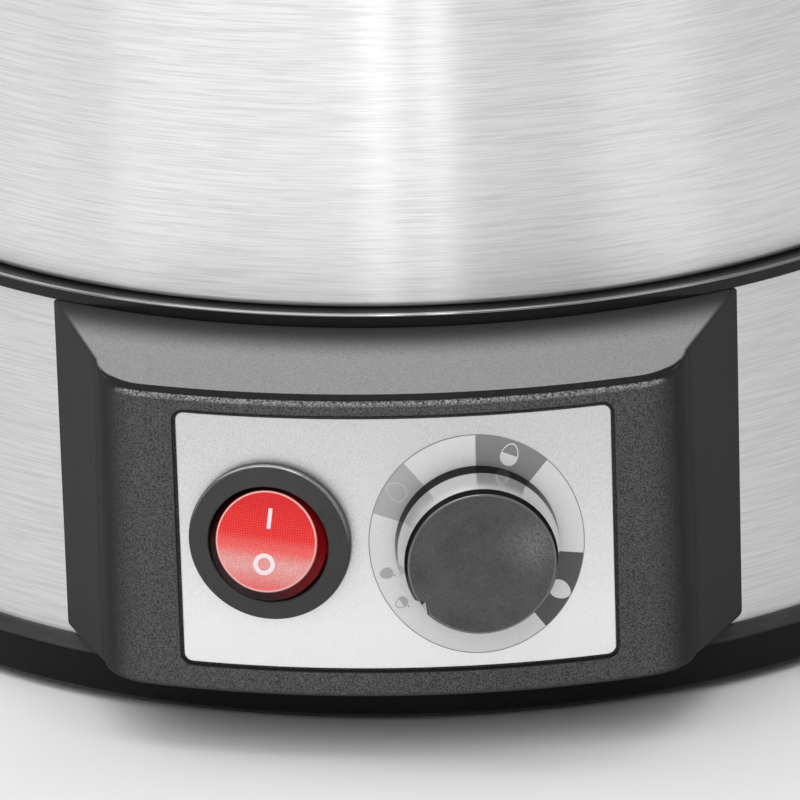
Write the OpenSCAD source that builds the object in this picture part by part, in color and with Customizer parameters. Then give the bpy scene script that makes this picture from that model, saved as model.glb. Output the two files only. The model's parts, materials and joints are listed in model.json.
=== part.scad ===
// Egg cooker for seven eggs: a round steel housing with a heated bowl, a lift-out
// egg tray and a lift-off lid. A console on the front holds a lit rocker switch and
// a knob that sets how hard the eggs are cooked. Millimetres, +Z up, front at -Y.

/* [Housing] */
// Outer radius of the steel band at its lower edge
band_r = 89.5; // [87:0.5:96]
// Radius that the band loses between its lower and upper edge
band_taper = 1.4; // [0:0.1:2.4]
// Height of the steel band
band_h = 50.2; // [49:0.1:58]
// Thickness of the band's steel sheet
band_sheet = 0.6; // [0.4:0.1:0.9]
// Thickness of the base pan's moulded walls
pan_wall = 2.2; // [1.6:0.1:2.6]
// How far the base ring stands out from the band
base_lip = 2; // [1.6:0.1:3.5]
// Height of the base ring, from its lower edge to the band
base_h = 7.3; // [6.5:0.1:10]
// Height of the bevel along the top of the base ring
base_bevel = 1.8; // [0.6:0.1:2.6]
// Height of the lip that locates the band on the base pan
spigot_h = 7.2; // [4:0.1:8]
// Thickness of the base pan's floor
floor_t = 2.5; // [2:0.1:3]
// How far the floor lies above the base ring's lower edge
floor_rise = 1.5; // [0.5:0.1:1.8]

/* [Feet] */
// Gap between the base ring and the table
foot_lift = 1.5; // [1:0.1:4]
// Radius of a foot
foot_r = 7; // [5:0.5:8]
// How far the feet's middles lie inside the base ring's edge
foot_inset = 17.5; // [16.5:0.5:21.5]

/* [Rim ring] */
// How far the rim ring stands out from the top of the band
rim_lip = 0.6; // [0.4:0.1:1.2]
// Height of the rim ring above the band
rim_h = 2; // [1.6:0.1:4]
// Wall thickness of the rim ring
rim_wall = 2; // [1.6:0.1:2.6]
// Depth of the skirt that reaches down inside the band
skirt_h = 9; // [6:0.1:9.5]
// Depth of the recess that the bowl's flange lies in
rim_recess = 2.4; // [2:0.1:3]

/* [Heating bowl] */
// Width of the flange that the bowl hangs by
bowl_ledge = 9; // [7.2:0.1:11]
// Depth of the bowl under its flange
bowl_depth = 13.4; // [11:0.1:15]
// Radius that the bowl loses from its mouth to its floor
bowl_draft = 2; // [1:0.1:5]
// Thickness of the bowl's steel sheet
bowl_sheet = 0.8; // [0.6:0.1:1]
// Thickness of the silicone seal under the flange
seal_t = 1; // [0.6:0.1:1.2]
// Radius of the heater plate
heater_r = 52; // [48:0.5:54]
// Thickness of the heater plate
heater_t = 5; // [4:0.1:6]
// Radius of the ring that the heating element is bent to
element_ring = 40; // [34:0.5:43]
// Radius of the heating element's tube
element_r = 3.2; // [2.8:0.1:3.6]
// Angle left open between the two ends of the element
element_gap = 40; // [30:1:60]
// Thickness of the clamp plate under the element
clamp_t = 1.2; // [0.8:0.1:1.6]

/* [Egg tray] */
// Radius of the holes that the eggs stand in
egg_hole_r = 17; // [15:0.5:18]
// Distance of the outer egg holes from the middle
egg_ring = 48; // [44:0.5:50]
// Thickness of the tray's steel sheet
tray_sheet = 1; // [0.8:0.1:1.2]
// Height of the tray's upturned edge
tray_edge = 4; // [2:0.1:6]
// Radius of the wire that the tray handles are bent from
wire_r = 1.5; // [1.2:0.1:1.8]
// Distance between the two legs of a tray handle
loop_w = 28; // [26:0.5:32]
// Height of the tray handles above the tray
loop_h = 22; // [18:0.5:28]
// Radius of the grips on the tray handles
grip_r = 4; // [3:0.1:4.5]

/* [Lid] */
// How far the lid's rim lies inside the rim ring's outer edge
lid_inset = 2.5; // [2:0.1:3]
// Height of the lid's near-upright wall
lid_wall_h = 45; // [40:0.5:60]
// Radius that the wall loses on its way up
lid_taper = 1.3; // [0:0.1:4]
// Radius of the lid's shoulder
lid_shoulder = 24; // [16:0.5:26]
// Slope of the lid's top from the shoulder to the handle seat
lid_slope = 12; // [6:1:16]
// Thickness of the lid's steel sheet
lid_sheet = 0.9; // [0.7:0.1:1.1]
// Radius of the flat seat under the handle
seat_r = 41; // [40:0.5:46]
// Radius of the steam hole
vent_r = 2.5; // [1.5:0.1:4]
// Length of the lid handle
handle_l = 78; // [70:1:79]
// Height of the lid handle
handle_h = 28; // [24:0.5:34]
// Width of the lid handle
handle_w = 20; // [16:0.5:24]
// Thickness of the handle's grip bar
handle_bar = 11; // [8:0.5:12]
// Distance between the two handle screws
handle_pitch = 60; // [58:0.5:62]

/* [Console] */
// Radius of the console's front, from the middle of the housing
front_r = 106.4; // [104:0.1:112]
// Half of the angle that the console covers on the band
console_half = 32.75; // [31:0.25:36]
// Angle by which each flank closes in towards the front
flank_angle = 21; // [15:0.5:24]
// Radius of the upright corners beside the front
corner_r = 8; // [5:0.5:10]
// Wall thickness of the console
console_wall = 2.4; // [2:0.1:2.8]
// How far the console stays above the base ring
console_gap = 1.7; // [0.6:0.1:2.5]
// How far the console's top falls from the band to the front
console_fall = 3.2; // [1:0.1:5]
// Width of the label plate
label_w = 60.6; // [58:0.1:62]
// Height of the label plate
label_h = 37.5; // [34:0.1:39]
// Thickness of the label plate
label_t = 0.6; // [0.4:0.1:0.8]
// Radius of the label plate's corners
label_corner = 1.2; // [0.6:0.1:3]
// Width of the groove around the label plate
label_groove = 1.1; // [0.4:0.1:1.2]
// How far the label plate lies behind the console's front
label_sink = 0.4; // [0.2:0.1:0.6]

/* [Rocker switch] */
// Direction of the switch from the front, in degrees round the housing
switch_phi = -9.35; // [-10:0.05:-9]
// Angle by which the switch is turned clockwise in its hole
switch_turn = 5.5; // [0:0.5:8]
// Radius of the switch's bezel
bezel_r = 11.5; // [11.2:0.1:12]
// Thickness of the bezel
bezel_t = 1.9; // [1.6:0.1:2.4]
// Radius of the opening that the rocker sits in
rocker_hole_r = 8.5; // [8:0.1:8.7]
// Radius of the rocker's face
rocker_face_r = 7.15; // [6.5:0.05:7.4]
// Height of the rocker's face above the bezel, when level
rocker_rise = 1.8; // [1.4:0.1:2.4]
// Tilt of the rocker to each side
rocker_tilt = 12; // [8:1:14]
// Depth of the switch's body behind the label plate
switch_depth = 15; // [13:0.5:16]

/* [Knob] */
// Direction of the knob from the front, in degrees round the housing
knob_phi = 6.35; // [6:0.05:7]
// Radius of the knob at its back
knob_back_r = 11.5; // [11:0.1:12]
// Radius of the knob's face
knob_face_r = 10.8; // [10:0.1:11]
// How far the knob stands out from the label plate
knob_h = 9.2; // [8.6:0.1:12]
// Angle of the knob's pointer notch, clockwise from the top
notch_angle = -128; // [-150:1:-110]
// Radius of the potentiometer's shaft
shaft_r = 3; // [2:0.1:3.2]

/* [Hidden] */
$fn = 96;

// Clearances
slip = 0.05;        // round parts that fit each other
loose = 0.3;        // sheet-metal and moulded parts that slide together
seat_gap = 0.1;     // curved faces that lie on each other
big_fn = 180;       // smoothness of the large round parts

// Heights
bevel_lean = 0.72;  // how far the bevel leans in for each mm of its height
ring_z = foot_lift;
floor_z = ring_z + floor_rise;
floor_top = floor_z + floor_t;
band_z = ring_z + base_h;
spigot_top = band_z + spigot_h;
band_top = band_z + band_h;
ledge_z = band_top + rim_h;
skirt_z = band_top - skirt_h;
recess_z = ledge_z - rim_recess;
flange_z = recess_z + seal_t;
flange_top = flange_z + bowl_sheet;
bowl_floor_z = flange_z - bowl_depth;

// Radii
lid_ledge = 6;      // width of the rim ring's face that the lid stands on
bowl_air = 1.5;     // gap between the hot bowl and the rim ring
rim_edge = 0.3;     // bevel along the rim ring's outer edge
seal_in = 0.5;      // how far the seal's edges stay inside its seat
function band_at(z) = band_r - band_taper * (z - band_z) / band_h;
base_r = band_r + base_lip;
base_shoulder_r = base_r - base_bevel * bevel_lean;
foot_ring = base_r - foot_inset;
spigot_r = band_at(spigot_top) - band_sheet - loose;
rim_r = band_at(band_top) + rim_lip;
skirt_r = band_at(band_top) - band_sheet - loose;
lid_r = rim_r - lid_inset;
flange_r = lid_r - lid_ledge;
bowl_r = flange_r - bowl_ledge;
recess_r = flange_r + loose;
rim_bore_r = bowl_r + bowl_sheet + bowl_air;
tray_r = (bowl_r + flange_r) / 2;

// Heater stack
element_z = bowl_floor_z - heater_t;
clamp_z = element_z - element_r - clamp_t;
stud_r = 2;
stud_out = 5;       // from the heater plate's edge to the studs' middles
stud_ring = heater_r + stud_out;
stud_angles = [90, 210, 330];
clamp_margin = 4.5; // from the studs' middles to the clamp plate's edge
clamp_r = stud_ring + clamp_margin;
nut_h = 3.2;
nut_r = 3.9;
stud_over = 1;      // length of stud that stands out of its nut
stud_tip = clamp_z - nut_h - stud_over;
sensor_r = 5;
sensor_h = 2.5;
sensor_flange_h = 0.8;
sensor_z = bowl_floor_z - sensor_h - sensor_flange_h;
sensor_flange_r = 6.4;
sensor_bore_r = 7.2;
spring_wire = 0.4;
spring_r = 4.2;
element_end = element_gap / 2;
spring_turns = 4;
pin_len = 6;
tab_h = 7;          // terminal tabs on the element's pins
tab_w = 4.8;
tab_t = 0.8;
tab_collar_r = 2.6;
tab_collar_h = 2;
terminal_z = element_z - element_r - pin_len - tab_h;
pin_r = element_r - 0.2;
pin_cut_r = element_r + 0.8;
centre_hole_r = 2;
fuse_x = -30;       // thermal fuse, held by its clip under the clamp plate
fuse_r = 2;
fuse_l = 16;
fuse_z = clamp_z - fuse_r - seat_gap;
clip_r = 2.8;
clip_w = 6;
clip_t = 0.8;
clip_l = 14;
clip_slot = 5;

// Case screws and their posts
post_inset = 8.2;   // from the skirt's outer face to the posts' middles
post_ring = skirt_r - post_inset;
post_angles = [35, 145, 215, 325];
post_h = 14.5;      // height of the base pan's posts over its floor
post_joint_z = floor_top + post_h;
pan_post_r = 4.4;
rim_post_r = 3.8;
case_screw_r = 1.5;
case_head_r = 2.9;
case_head_h = 2;
case_sink = 6;
case_screw_bite = 12;
case_screw_end = post_joint_z + case_screw_bite;
foot_angles = [45, 135, 225, 315];
foot_stem_r = 2.5;
foot_barb_r = 3.4;
foot_barb_h = 1;

// Console outline
console_z = band_z + console_gap;
console_drop = 0.5; // how far the console's top stays under the rim ring
console_top = band_top - console_drop;
console_front_top = console_top - console_fall;
flank_in = [-cos(flank_angle), sin(flank_angle)];
flank_out = [-sin(flank_angle), -cos(flank_angle)];
flank_root = band_r * [sin(console_half), -cos(console_half)];
corner_from = flank_root + corner_r * flank_in;
corner_dot = corner_from * flank_out;
corner_gap = corner_from * corner_from - pow(front_r - corner_r, 2);
corner_run = sqrt(corner_dot * corner_dot - corner_gap) - corner_dot;
corner_pos = corner_from + corner_run * flank_out;
flank_run = 12;     // length of flank behind its root, which the band cuts off
flank_back = flank_root - flank_run * flank_out;
corner_steps = 8;
front_steps = 14;
console_screw_phi = 25.5;
console_screw_r = 1.3;
console_screw_l = 7;
console_boss_r = 3;
console_boss_l = 8;
console_screw_in = 0.2;
console_screw_head_r = 2.5;
console_screw_head_h = 2;
console_screw_low = 6;
console_screw_high = 5;
console_screw_zs = [spigot_top + console_screw_low, skirt_z - console_screw_high];
window_half = 22;
window_bar = 4;     // upright strip left between the band's two windows
window_margin = 1;
window_z = spigot_top + window_margin;
window_top = skirt_z - window_margin;
window_from = band_r * 0.7;
window_to = band_r * 1.3;

// Label plate and controls
label_r = front_r - label_sink;
label_mid = (console_z + console_front_top) / 2;
control_up = 0.4;   // how far the controls sit above the plate's middle
control_z = label_mid + control_up;
panel_r = label_r + slip;
switch_body_r = 9.7;
switch_cut_r = switch_body_r + 0.2;
ear_w = 5;          // lugs that hold the switch in its hole
ear_h = 2;
ear_out = 0.9;
ear_z = 5.5;
pocket_depth = 9;
pivot_drop = 1.5;
pivot_z = bezel_t - pivot_drop;
rocker_ball_r = rocker_hole_r - 0.1;
rocker_base_r = rocker_hole_r - 0.25;
rocker_keel = 4;
rocker_pin_r = 1;
pin_room = 0.4;     // end play of the rocker's pins
blade_l = 9;
blade_w = 4.8;
blade_t = 0.8;
blade_pitch = 5.5;
lamp_r = 1.5;
lamp_l = 10;
bushing_r = 3.5;
bushing_out = 2.8;
pot_pad_in = 0.7;   // how far the potentiometer's pad stands in from the wall
pot_front = label_r - front_r + console_wall + pot_pad_in;
pot_r = 8.5;
pot_t = 9;
pot_pad_r = 9.4;
pot_pad_t = 3;
pot_tail = 3;       // where the shaft ends in the potentiometer
pot_pin_w = 1.2;
pot_pin_t = 0.6;
pot_pin_l = 6;
pot_pin_out = 4;
pot_pin_pitch = 4;
pot_nut_r = 5.8;
pot_nut_h = 2;
knob_gap = 0.6;
knob_cap = 1.8;
knob_wall = 1.6;
notch_ring = 12;    // from the knob's middle to the pointer notch's middle
notch_r = 1.9;
hub_z = bushing_out + loose;
hub_r = 4.8;

// The housing's middle lies behind the middle of the whole outline
knob_reach = (panel_r + knob_h) * cos(knob_phi) + knob_face_r * sin(knob_phi);
axis_y = (knob_reach - base_r) / 2;

// Circuit board
board_w = 68;
board_y = -62;
board_d = 46;
board_t = 1.6;
standoff_h = 6.5;
standoff_r = 3;
board_z = floor_top + standoff_h;
board_top = board_z + board_t;
board_hole_in = 4;
board_screw_r = 1.2;
board_screw_l = 5;
board_head_r = 2.4;
board_head_h = 1.6;
relay_x = -24;      // each component: its place on the board, then its size
relay_y = 22;
relay_w = 19;
relay_d = 15;
relay_h = 15;
film_x = 2;
film_y = 30;
film_w = 18;
film_d = 8;
film_h = 14;
smoothing_x = 14;
smoothing_y = 20;
smoothing_r = 5;
smoothing_h = 13;
chip_x = -6;
chip_y = 5;
chip_w = 14;
chip_d = 8;
chip_h = 2.4;
buzzer_x = -18;
buzzer_y = 12;
buzzer_r = 6;
buzzer_h = 8.5;
buzzer_hole_r = 1.2;
block_y = 44;
block_w = 30;
block_d = 14;
block_h = 13;
block_pitch = 10;
block_wire_z = 6;
block_wire_r = 1.8;
block_screw_r = 1.5;
lead_r = 1;
signal_r = 0.7;
lead_rise = 7;      // height of the leads' arches over the board
lead_side = 24;     // where the element's leads meet the board
lead_row = 2.5;     // row of solder points along the board's front edge
lead_bow = 8;
switch_lead_x = -13;
pot_lead_x = 14;

// Cord gland
gland_up = 12;      // how far the gland sits above the base pan's lip
gland_z = spigot_top + gland_up;
gland_bore_r = 3.6;
gland_body_r = 5.9;
gland_flange_r = 8;
gland_flange_t = 2;
gland_in = 10;
gland_nut_r = 8.6;
gland_nut_h = 4;
gland_seat = band_at(gland_z - gland_flange_r) + seat_gap;

// Tray and lid
tray_z = flange_top;
tray_top = tray_z + tray_sheet;
egg_angles = [30:60:330];
steam_hole_r = 2.5;
loop_inset = 7;     // from the tray's edge to the handles
loop_x = tray_r - loop_inset;
loop_foot_out = 1.2;
loop_foot_h = 1.2;
grip_end = 4;       // bare wire left beside each end of a grip
grip_l = loop_w - 2 * grip_end;
lid_z = ledge_z;
lid_wall_top = lid_z + lid_wall_h;
shoulder_x = lid_r - lid_taper - lid_shoulder;
shoulder_end = 90 - lid_slope;
lid_rise = (shoulder_x + lid_shoulder * cos(shoulder_end) - seat_r) * tan(lid_slope);
lid_top = lid_wall_top + lid_shoulder * sin(shoulder_end) + lid_rise;
handle_screw_r = 1.9;
handle_head_r = 4;
handle_head_h = 2.4;
handle_screw_in = 12;
washer_t = 1;
washer_r = 5.5;
vent_out = 9;       // from the handle seat's edge to the steam hole
vent_ring = seat_r + vent_out;
handle_leg = 7.5;   // from a handle screw to its leg's inner face
arch_side = 0.55;   // shape of the handle's arch: how upright its sides are,
arch_top = 0.75;    // and how flat its top is

// Puts children on the round housing, whose middle is at axis_y
module placed() { translate([0, axis_y, 0]) children(); }

// Puts children at an angle round the middle, at a given distance
module around(angles, distance) {
    for (angle = angles) rotate([0, 0, angle]) translate([distance, 0, 0]) children();
}

// Puts children on the front: local +Z points out and local +Y points up
module on_panel(phi, distance, z) {
    rotate([0, 0, phi]) translate([0, -distance, z]) rotate([90, 0, 0]) children();
}

// A straight run between two points, with a rounded start
module run(from, to, r) {
    step = to - from;
    length = norm(step);
    translate(from) {
        sphere(r * 1.04, $fn = 24);
        rotate([0, acos(step[2] / length), atan2(step[1], step[0])])
            cylinder(h = length, r = r, $fn = 24);
    }
}

// A lead that runs straight from point to point
module lead(points, r) {
    for (i = [1 : len(points) - 1]) run(points[i - 1], points[i], r);
}

// A rounded rectangle of exact arcs, centred on the origin
module rounded(w, h, r) {
    square([w - 2 * r, h], center = true);
    square([w, h - 2 * r], center = true);
    for (x = [-1, 1], y = [-1, 1])
        translate([x * (w / 2 - r), y * (h / 2 - r)]) circle(r, $fn = 32);
}

module rubber_feet() color([0.09, 0.09, 0.09]) placed() around(foot_angles, foot_ring) {
    cylinder(h = floor_z, r = foot_r);
    cylinder(h = floor_top + foot_barb_h, r = foot_stem_r, $fn = 48);
    translate([0, 0, floor_top]) cylinder(h = foot_barb_h, r = foot_barb_r, $fn = 48);
}

module base_pan() color([0.08, 0.08, 0.08]) placed() difference() {
    union() {
        rotate_extrude($fn = big_fn) polygon([
            [0, floor_z], [base_r - pan_wall, floor_z], [base_r - pan_wall, ring_z],
            [base_r, ring_z], [base_r, band_z - base_bevel], [base_shoulder_r, band_z],
            [spigot_r, band_z], [spigot_r, spigot_top], [spigot_r - pan_wall, spigot_top],
            [spigot_r - pan_wall, floor_top], [0, floor_top]
        ]);
        around(post_angles, post_ring)
            translate([0, 0, floor_z]) cylinder(h = post_joint_z - floor_z, r = pan_post_r);
        for (x = [-1, 1], y = [board_hole_in, board_d - board_hole_in])
            translate([x * (board_w / 2 - board_hole_in), board_y + y, floor_z])
                cylinder(h = board_z - floor_z, r = standoff_r);
    }
    around(post_angles, post_ring) {
        translate([0, 0, floor_z - 1]) cylinder(h = post_joint_z, r = case_screw_r + slip);
        translate([0, 0, floor_z - 1]) cylinder(h = case_sink + 1, r = case_head_r + loose);
    }
    around(foot_angles, foot_ring)
        translate([0, 0, floor_z - 1]) cylinder(h = floor_t + 2, r = foot_stem_r + slip);
    for (x = [-1, 1], y = [board_hole_in, board_d - board_hole_in])
        translate([x * (board_w / 2 - board_hole_in), board_y + y, floor_top])
            cylinder(h = board_z, r = board_screw_r + slip);
}

module case_screws() color("silver") placed() around(post_angles, post_ring)
    translate([0, 0, floor_z + case_sink - case_head_h]) {
        cylinder(h = case_head_h, r = case_head_r);
        cylinder(h = case_screw_end - floor_z - case_sink, r = case_screw_r);
    }

module housing_band() color([0.78, 0.78, 0.79]) placed() difference() {
    rotate_extrude($fn = big_fn) polygon([
        [band_r - band_sheet, band_z], [band_r, band_z],
        [band_at(band_top), band_top], [band_at(band_top) - band_sheet, band_top]
    ]);
    for (side = [-1, 1]) translate([0, 0, window_z])
        linear_extrude(window_top - window_z) polygon([
            [side * window_bar / 2, -window_from], [side * window_bar / 2, -window_to],
            window_to * [side * sin(window_half), -cos(window_half)],
            window_from * [side * sin(window_half), -cos(window_half)]
        ]);
    for (phi = [-console_screw_phi, console_screw_phi], z = console_screw_zs)
        on_panel(phi, band_r - 5, z) cylinder(h = 10, r = console_screw_r + 0.3);
    translate([0, band_r - 5, gland_z]) rotate([-90, 0, 0])
        cylinder(h = 10, r = gland_body_r + seat_gap);
}

module rim_ring() color([0.05, 0.05, 0.05]) placed() difference() {
    union() {
        rotate_extrude($fn = big_fn) polygon([
            [rim_bore_r, recess_z - rim_wall], [rim_bore_r, recess_z],
            [recess_r, recess_z], [recess_r, ledge_z], [rim_r - rim_edge, ledge_z],
            [rim_r, ledge_z - rim_edge], [rim_r, band_top], [skirt_r, band_top],
            [skirt_r, skirt_z], [skirt_r - rim_wall, skirt_z],
            [skirt_r - rim_wall, recess_z - rim_wall]
        ]);
        around(post_angles, post_ring) translate([0, 0, post_joint_z])
            cylinder(h = recess_z - rim_wall / 2 - post_joint_z, r = rim_post_r);
    }
    around(post_angles, post_ring) translate([0, 0, post_joint_z - 1])
        cylinder(h = case_screw_end + 2 - post_joint_z, r = case_screw_r + slip);
}

module bowl_seal() color([0.7, 0.2, 0.15]) placed() translate([0, 0, recess_z])
    difference() {
        cylinder(h = seal_t, r = flange_r - seal_in, $fn = big_fn);
        translate([0, 0, -1])
            cylinder(h = seal_t + 2, r = rim_bore_r + seal_in, $fn = big_fn);
    }

module heating_bowl() color([0.72, 0.72, 0.73]) placed() {
    rotate_extrude($fn = big_fn) polygon([
        [0, bowl_floor_z], [bowl_r + bowl_sheet - bowl_draft, bowl_floor_z],
        [bowl_r + bowl_sheet, flange_z], [flange_r, flange_z], [flange_r, flange_top],
        [bowl_r, flange_top], [bowl_r - bowl_draft, bowl_floor_z + bowl_sheet],
        [0, bowl_floor_z + bowl_sheet]
    ]);
    around(stud_angles, stud_ring) translate([0, 0, stud_tip])
        cylinder(h = bowl_floor_z + bowl_sheet / 2 - stud_tip, r = stud_r, $fn = 48);
}

module heater_plate() color([0.6, 0.6, 0.62]) placed() difference() {
    translate([0, 0, bowl_floor_z - heater_t]) cylinder(h = heater_t, r = heater_r);
    translate([0, 0, bowl_floor_z - heater_t - 1]) cylinder(h = heater_t + 2, r = sensor_bore_r);
    translate([0, 0, element_z]) rotate_extrude() translate([element_ring, 0])
        circle(element_r + seat_gap, $fn = 48);
}

module heating_element() color([0.35, 0.33, 0.32]) placed() {
    translate([0, 0, element_z]) rotate([0, 0, 90 + element_end])
        rotate_extrude(angle = 360 - element_gap) translate([element_ring, 0])
            circle(element_r, $fn = 48);
    around([90 - element_end, 90 + element_end], element_ring) {
        translate([0, 0, element_z - element_r - pin_len])
            cylinder(h = element_r + pin_len, r = pin_r, $fn = 48);
        translate([0, 0, element_z]) sphere(element_r - 0.1, $fn = 48);
    }
}

module element_terminals() color("goldenrod") placed()
    around([90 - element_end, 90 + element_end], element_ring)
        translate([0, 0, terminal_z]) {
            translate([-tab_t / 2, -tab_w / 2, 0]) cube([tab_t, tab_w, tab_h]);
            translate([0, 0, tab_h - tab_collar_h])
                cylinder(h = tab_collar_h, r = tab_collar_r, $fn = 48);
        }

module clamp_plate() color([0.55, 0.55, 0.56]) placed() translate([0, 0, clamp_z])
    difference() {
        cylinder(h = clamp_t, r = clamp_r);
        around(stud_angles, stud_ring) translate([0, 0, -1])
            cylinder(h = clamp_t + 2, r = stud_r + 0.2, $fn = 48);
        around([90 - element_end, 90 + element_end], element_ring) translate([0, 0, -1])
            cylinder(h = clamp_t + 2, r = pin_cut_r, $fn = 48);
        translate([0, 0, -1]) cylinder(h = clamp_t + 2, r = centre_hole_r, $fn = 48);
    }

module clamp_nuts() color("silver") placed() around(stud_angles, stud_ring)
    translate([0, 0, clamp_z - nut_h]) difference() {
        cylinder(h = nut_h, r = nut_r, $fn = 6);
        translate([0, 0, -1]) cylinder(h = nut_h + 2, r = stud_r + slip, $fn = 48);
    }

module sensor_capsule() color("silver") placed() {
    translate([0, 0, sensor_z]) cylinder(h = sensor_h + sensor_flange_h, r = sensor_r);
    translate([0, 0, sensor_z]) cylinder(h = sensor_flange_h, r = sensor_flange_r);
}

// Coil that presses the sensor capsule up against the bowl
function coil_point(turn, side, bottom, height, turns) =
    let(a = 360 * turn, s = 360 * side / 6, r = spring_r + spring_wire * cos(s))
    [r * cos(a), r * sin(a), bottom + height * turn / turns + spring_wire * sin(s)];
module sensor_spring() color("silver") placed() {
    bottom = clamp_z + clamp_t + spring_wire;
    height = sensor_z - spring_wire - bottom;
    turns = spring_turns;
    rings = turns * 14;
    polyhedron(
        points = [for (i = [0 : rings], s = [0 : 5])
            coil_point(i * turns / rings, s, bottom, height, turns)],
        faces = concat(
            [[for (s = [5 : -1 : 0]) s]],
            [[for (s = [0 : 5]) rings * 6 + s]],
            [for (i = [0 : rings - 1], s = [0 : 5])
                [i * 6 + s, i * 6 + (s + 1) % 6, (i + 1) * 6 + (s + 1) % 6, (i + 1) * 6 + s]]
        )
    );
}

module thermal_fuse() color("white") placed() translate([fuse_x, -fuse_l / 2, fuse_z])
    rotate([-90, 0, 0]) cylinder(h = fuse_l, r = fuse_r, $fn = 48);

module fuse_clip() color("silver") placed() translate([fuse_x, clip_w / 2, fuse_z])
    rotate([90, 0, 0]) linear_extrude(clip_w) difference() {
        union() {
            circle(clip_r, $fn = 48);
            translate([-clip_r, 0]) square([2 * clip_r, fuse_r]);
            translate([-clip_l / 2, fuse_r - clip_t]) square([clip_l, clip_t]);
        }
        circle(fuse_r + slip, $fn = 48);
        translate([-fuse_r - slip, 0]) square([2 * (fuse_r + slip), clip_slot]);
    }

// Half of the console's outline from above, from a flank's back to the front's middle
function console_half_outline(inset) = let(
    corner_start = -flank_angle,
    corner_end = atan2(corner_pos[1], corner_pos[0])
) concat(
    [flank_back + inset * flank_in],
    [for (i = [0 : corner_steps]) let(a = corner_start
        + (corner_end - corner_start) * i / corner_steps)
        corner_pos + (corner_r - inset) * [cos(a), sin(a)]],
    [for (i = [1 : front_steps]) let(a = corner_end - (90 + corner_end) * i / front_steps)
        (front_r - inset) * [cos(a), sin(a)]]
);

// The whole outline: one half, and its mirror image without the shared middle point
function console_outline(inset) = let(half = console_half_outline(inset)) concat(
    half, [for (i = [len(half) - 2 : -1 : 0]) [-half[i][0], half[i][1]]]
);

// The solid inside the console's outer faces, pulled in by inset
module console_block(inset) {
    slope = console_fall / (front_r - band_r);
    difference() {
        translate([0, 0, console_z + inset])
            linear_extrude(console_top - console_z) polygon(console_outline(inset));
        rotate_extrude($fn = big_fn) translate([0, console_top - inset]) polygon([
            [0, 0], [band_r, 0], [front_r + 9, -slope * (front_r + 9 - band_r)],
            [front_r + 9, 30], [0, 30]
        ]);
    }
}

// The label plate's outline, grown by grow and cut through the front
module label_prism(grow) {
    translate([0, 0, label_mid]) rotate([90, 0, 0]) linear_extrude(front_r + 5)
        rounded(label_w + 2 * grow, label_h + 2 * grow, label_corner + grow);
}

module control_console() color([0.17, 0.17, 0.17]) placed() difference() {
    union() {
        difference() {
            console_block(0);
            console_block(console_wall);
        }
        intersection() {
            console_block(0);
            union() {
                for (phi = [-console_screw_phi, console_screw_phi], z = console_screw_zs)
                    on_panel(phi, band_r - 5, z)
                        cylinder(h = console_boss_l + 5, r = console_boss_r);
                on_panel(knob_phi, label_r - pot_front, control_z)
                    cylinder(h = pot_pad_t, r = pot_pad_r);
            }
        }
    }
    translate([0, 0, band_z - 1]) cylinder(h = band_h + 1, r1 = band_r + seat_gap
        + band_taper / band_h, r2 = band_at(band_top) + seat_gap, $fn = big_fn);
    difference() {
        label_prism(label_groove);
        cylinder(h = band_top + 5, r = label_r - label_t, $fn = big_fn);
    }
    for (phi = [-console_screw_phi, console_screw_phi], z = console_screw_zs)
        on_panel(phi, band_r - 5, z)
            cylinder(h = console_screw_l + 4, r = console_screw_r + slip, $fn = 48);
    on_panel(switch_phi, front_r - 8, control_z) cylinder(h = 16, r = switch_cut_r);
    on_panel(knob_phi, front_r - 8, control_z) cylinder(h = 16, r = bushing_r + seat_gap);
}

module console_screws() color("silver") placed()
    for (phi = [-console_screw_phi, console_screw_phi], z = console_screw_zs)
        on_panel(phi, band_at(z) - band_sheet - console_screw_in, z) {
            translate([0, 0, -console_screw_head_h])
                cylinder(h = console_screw_head_h, r = console_screw_head_r, $fn = 48);
            cylinder(h = console_screw_l, r = console_screw_r, $fn = 48);
        }

module label_plate() color([0.85, 0.85, 0.86]) placed() difference() {
    intersection() {
        label_prism(0);
        cylinder(h = band_top, r = label_r, $fn = big_fn);
    }
    translate([0, 0, -1]) cylinder(h = band_top + 2, r = label_r - label_t, $fn = big_fn);
    on_panel(switch_phi, front_r - 8, control_z) cylinder(h = 16, r = switch_cut_r);
    on_panel(knob_phi, front_r - 8, control_z) cylinder(h = 16, r = bushing_r + seat_gap);
}

// Puts children at the switch: local +Z points out of its bezel
module at_switch() {
    on_panel(switch_phi, panel_r, control_z) rotate([0, 0, -switch_turn]) children();
}

module switch_frame() color([0.16, 0.16, 0.16]) placed() at_switch() difference() {
    union() {
        cylinder(h = bezel_t, r = bezel_r);
        translate([0, 0, -switch_depth]) cylinder(h = switch_depth + 0.1, r = switch_body_r);
        for (side = [-1, 1]) translate([side * switch_body_r, 0, -ear_z])
            translate([-1, -ear_w / 2, 0]) cube([1 + ear_out, ear_w, ear_h]);
    }
    translate([0, 0, -1]) cylinder(h = bezel_t + 2, r = rocker_hole_r);
    translate([0, 0, -pocket_depth]) cylinder(h = pocket_depth, r = rocker_hole_r + 0.1);
    translate([0, 0, pivot_z]) rotate([0, 90, 0])
        cylinder(h = 2 * (switch_body_r - pin_room), r = rocker_pin_r + slip,
            center = true, $fn = 48);
}

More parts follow.
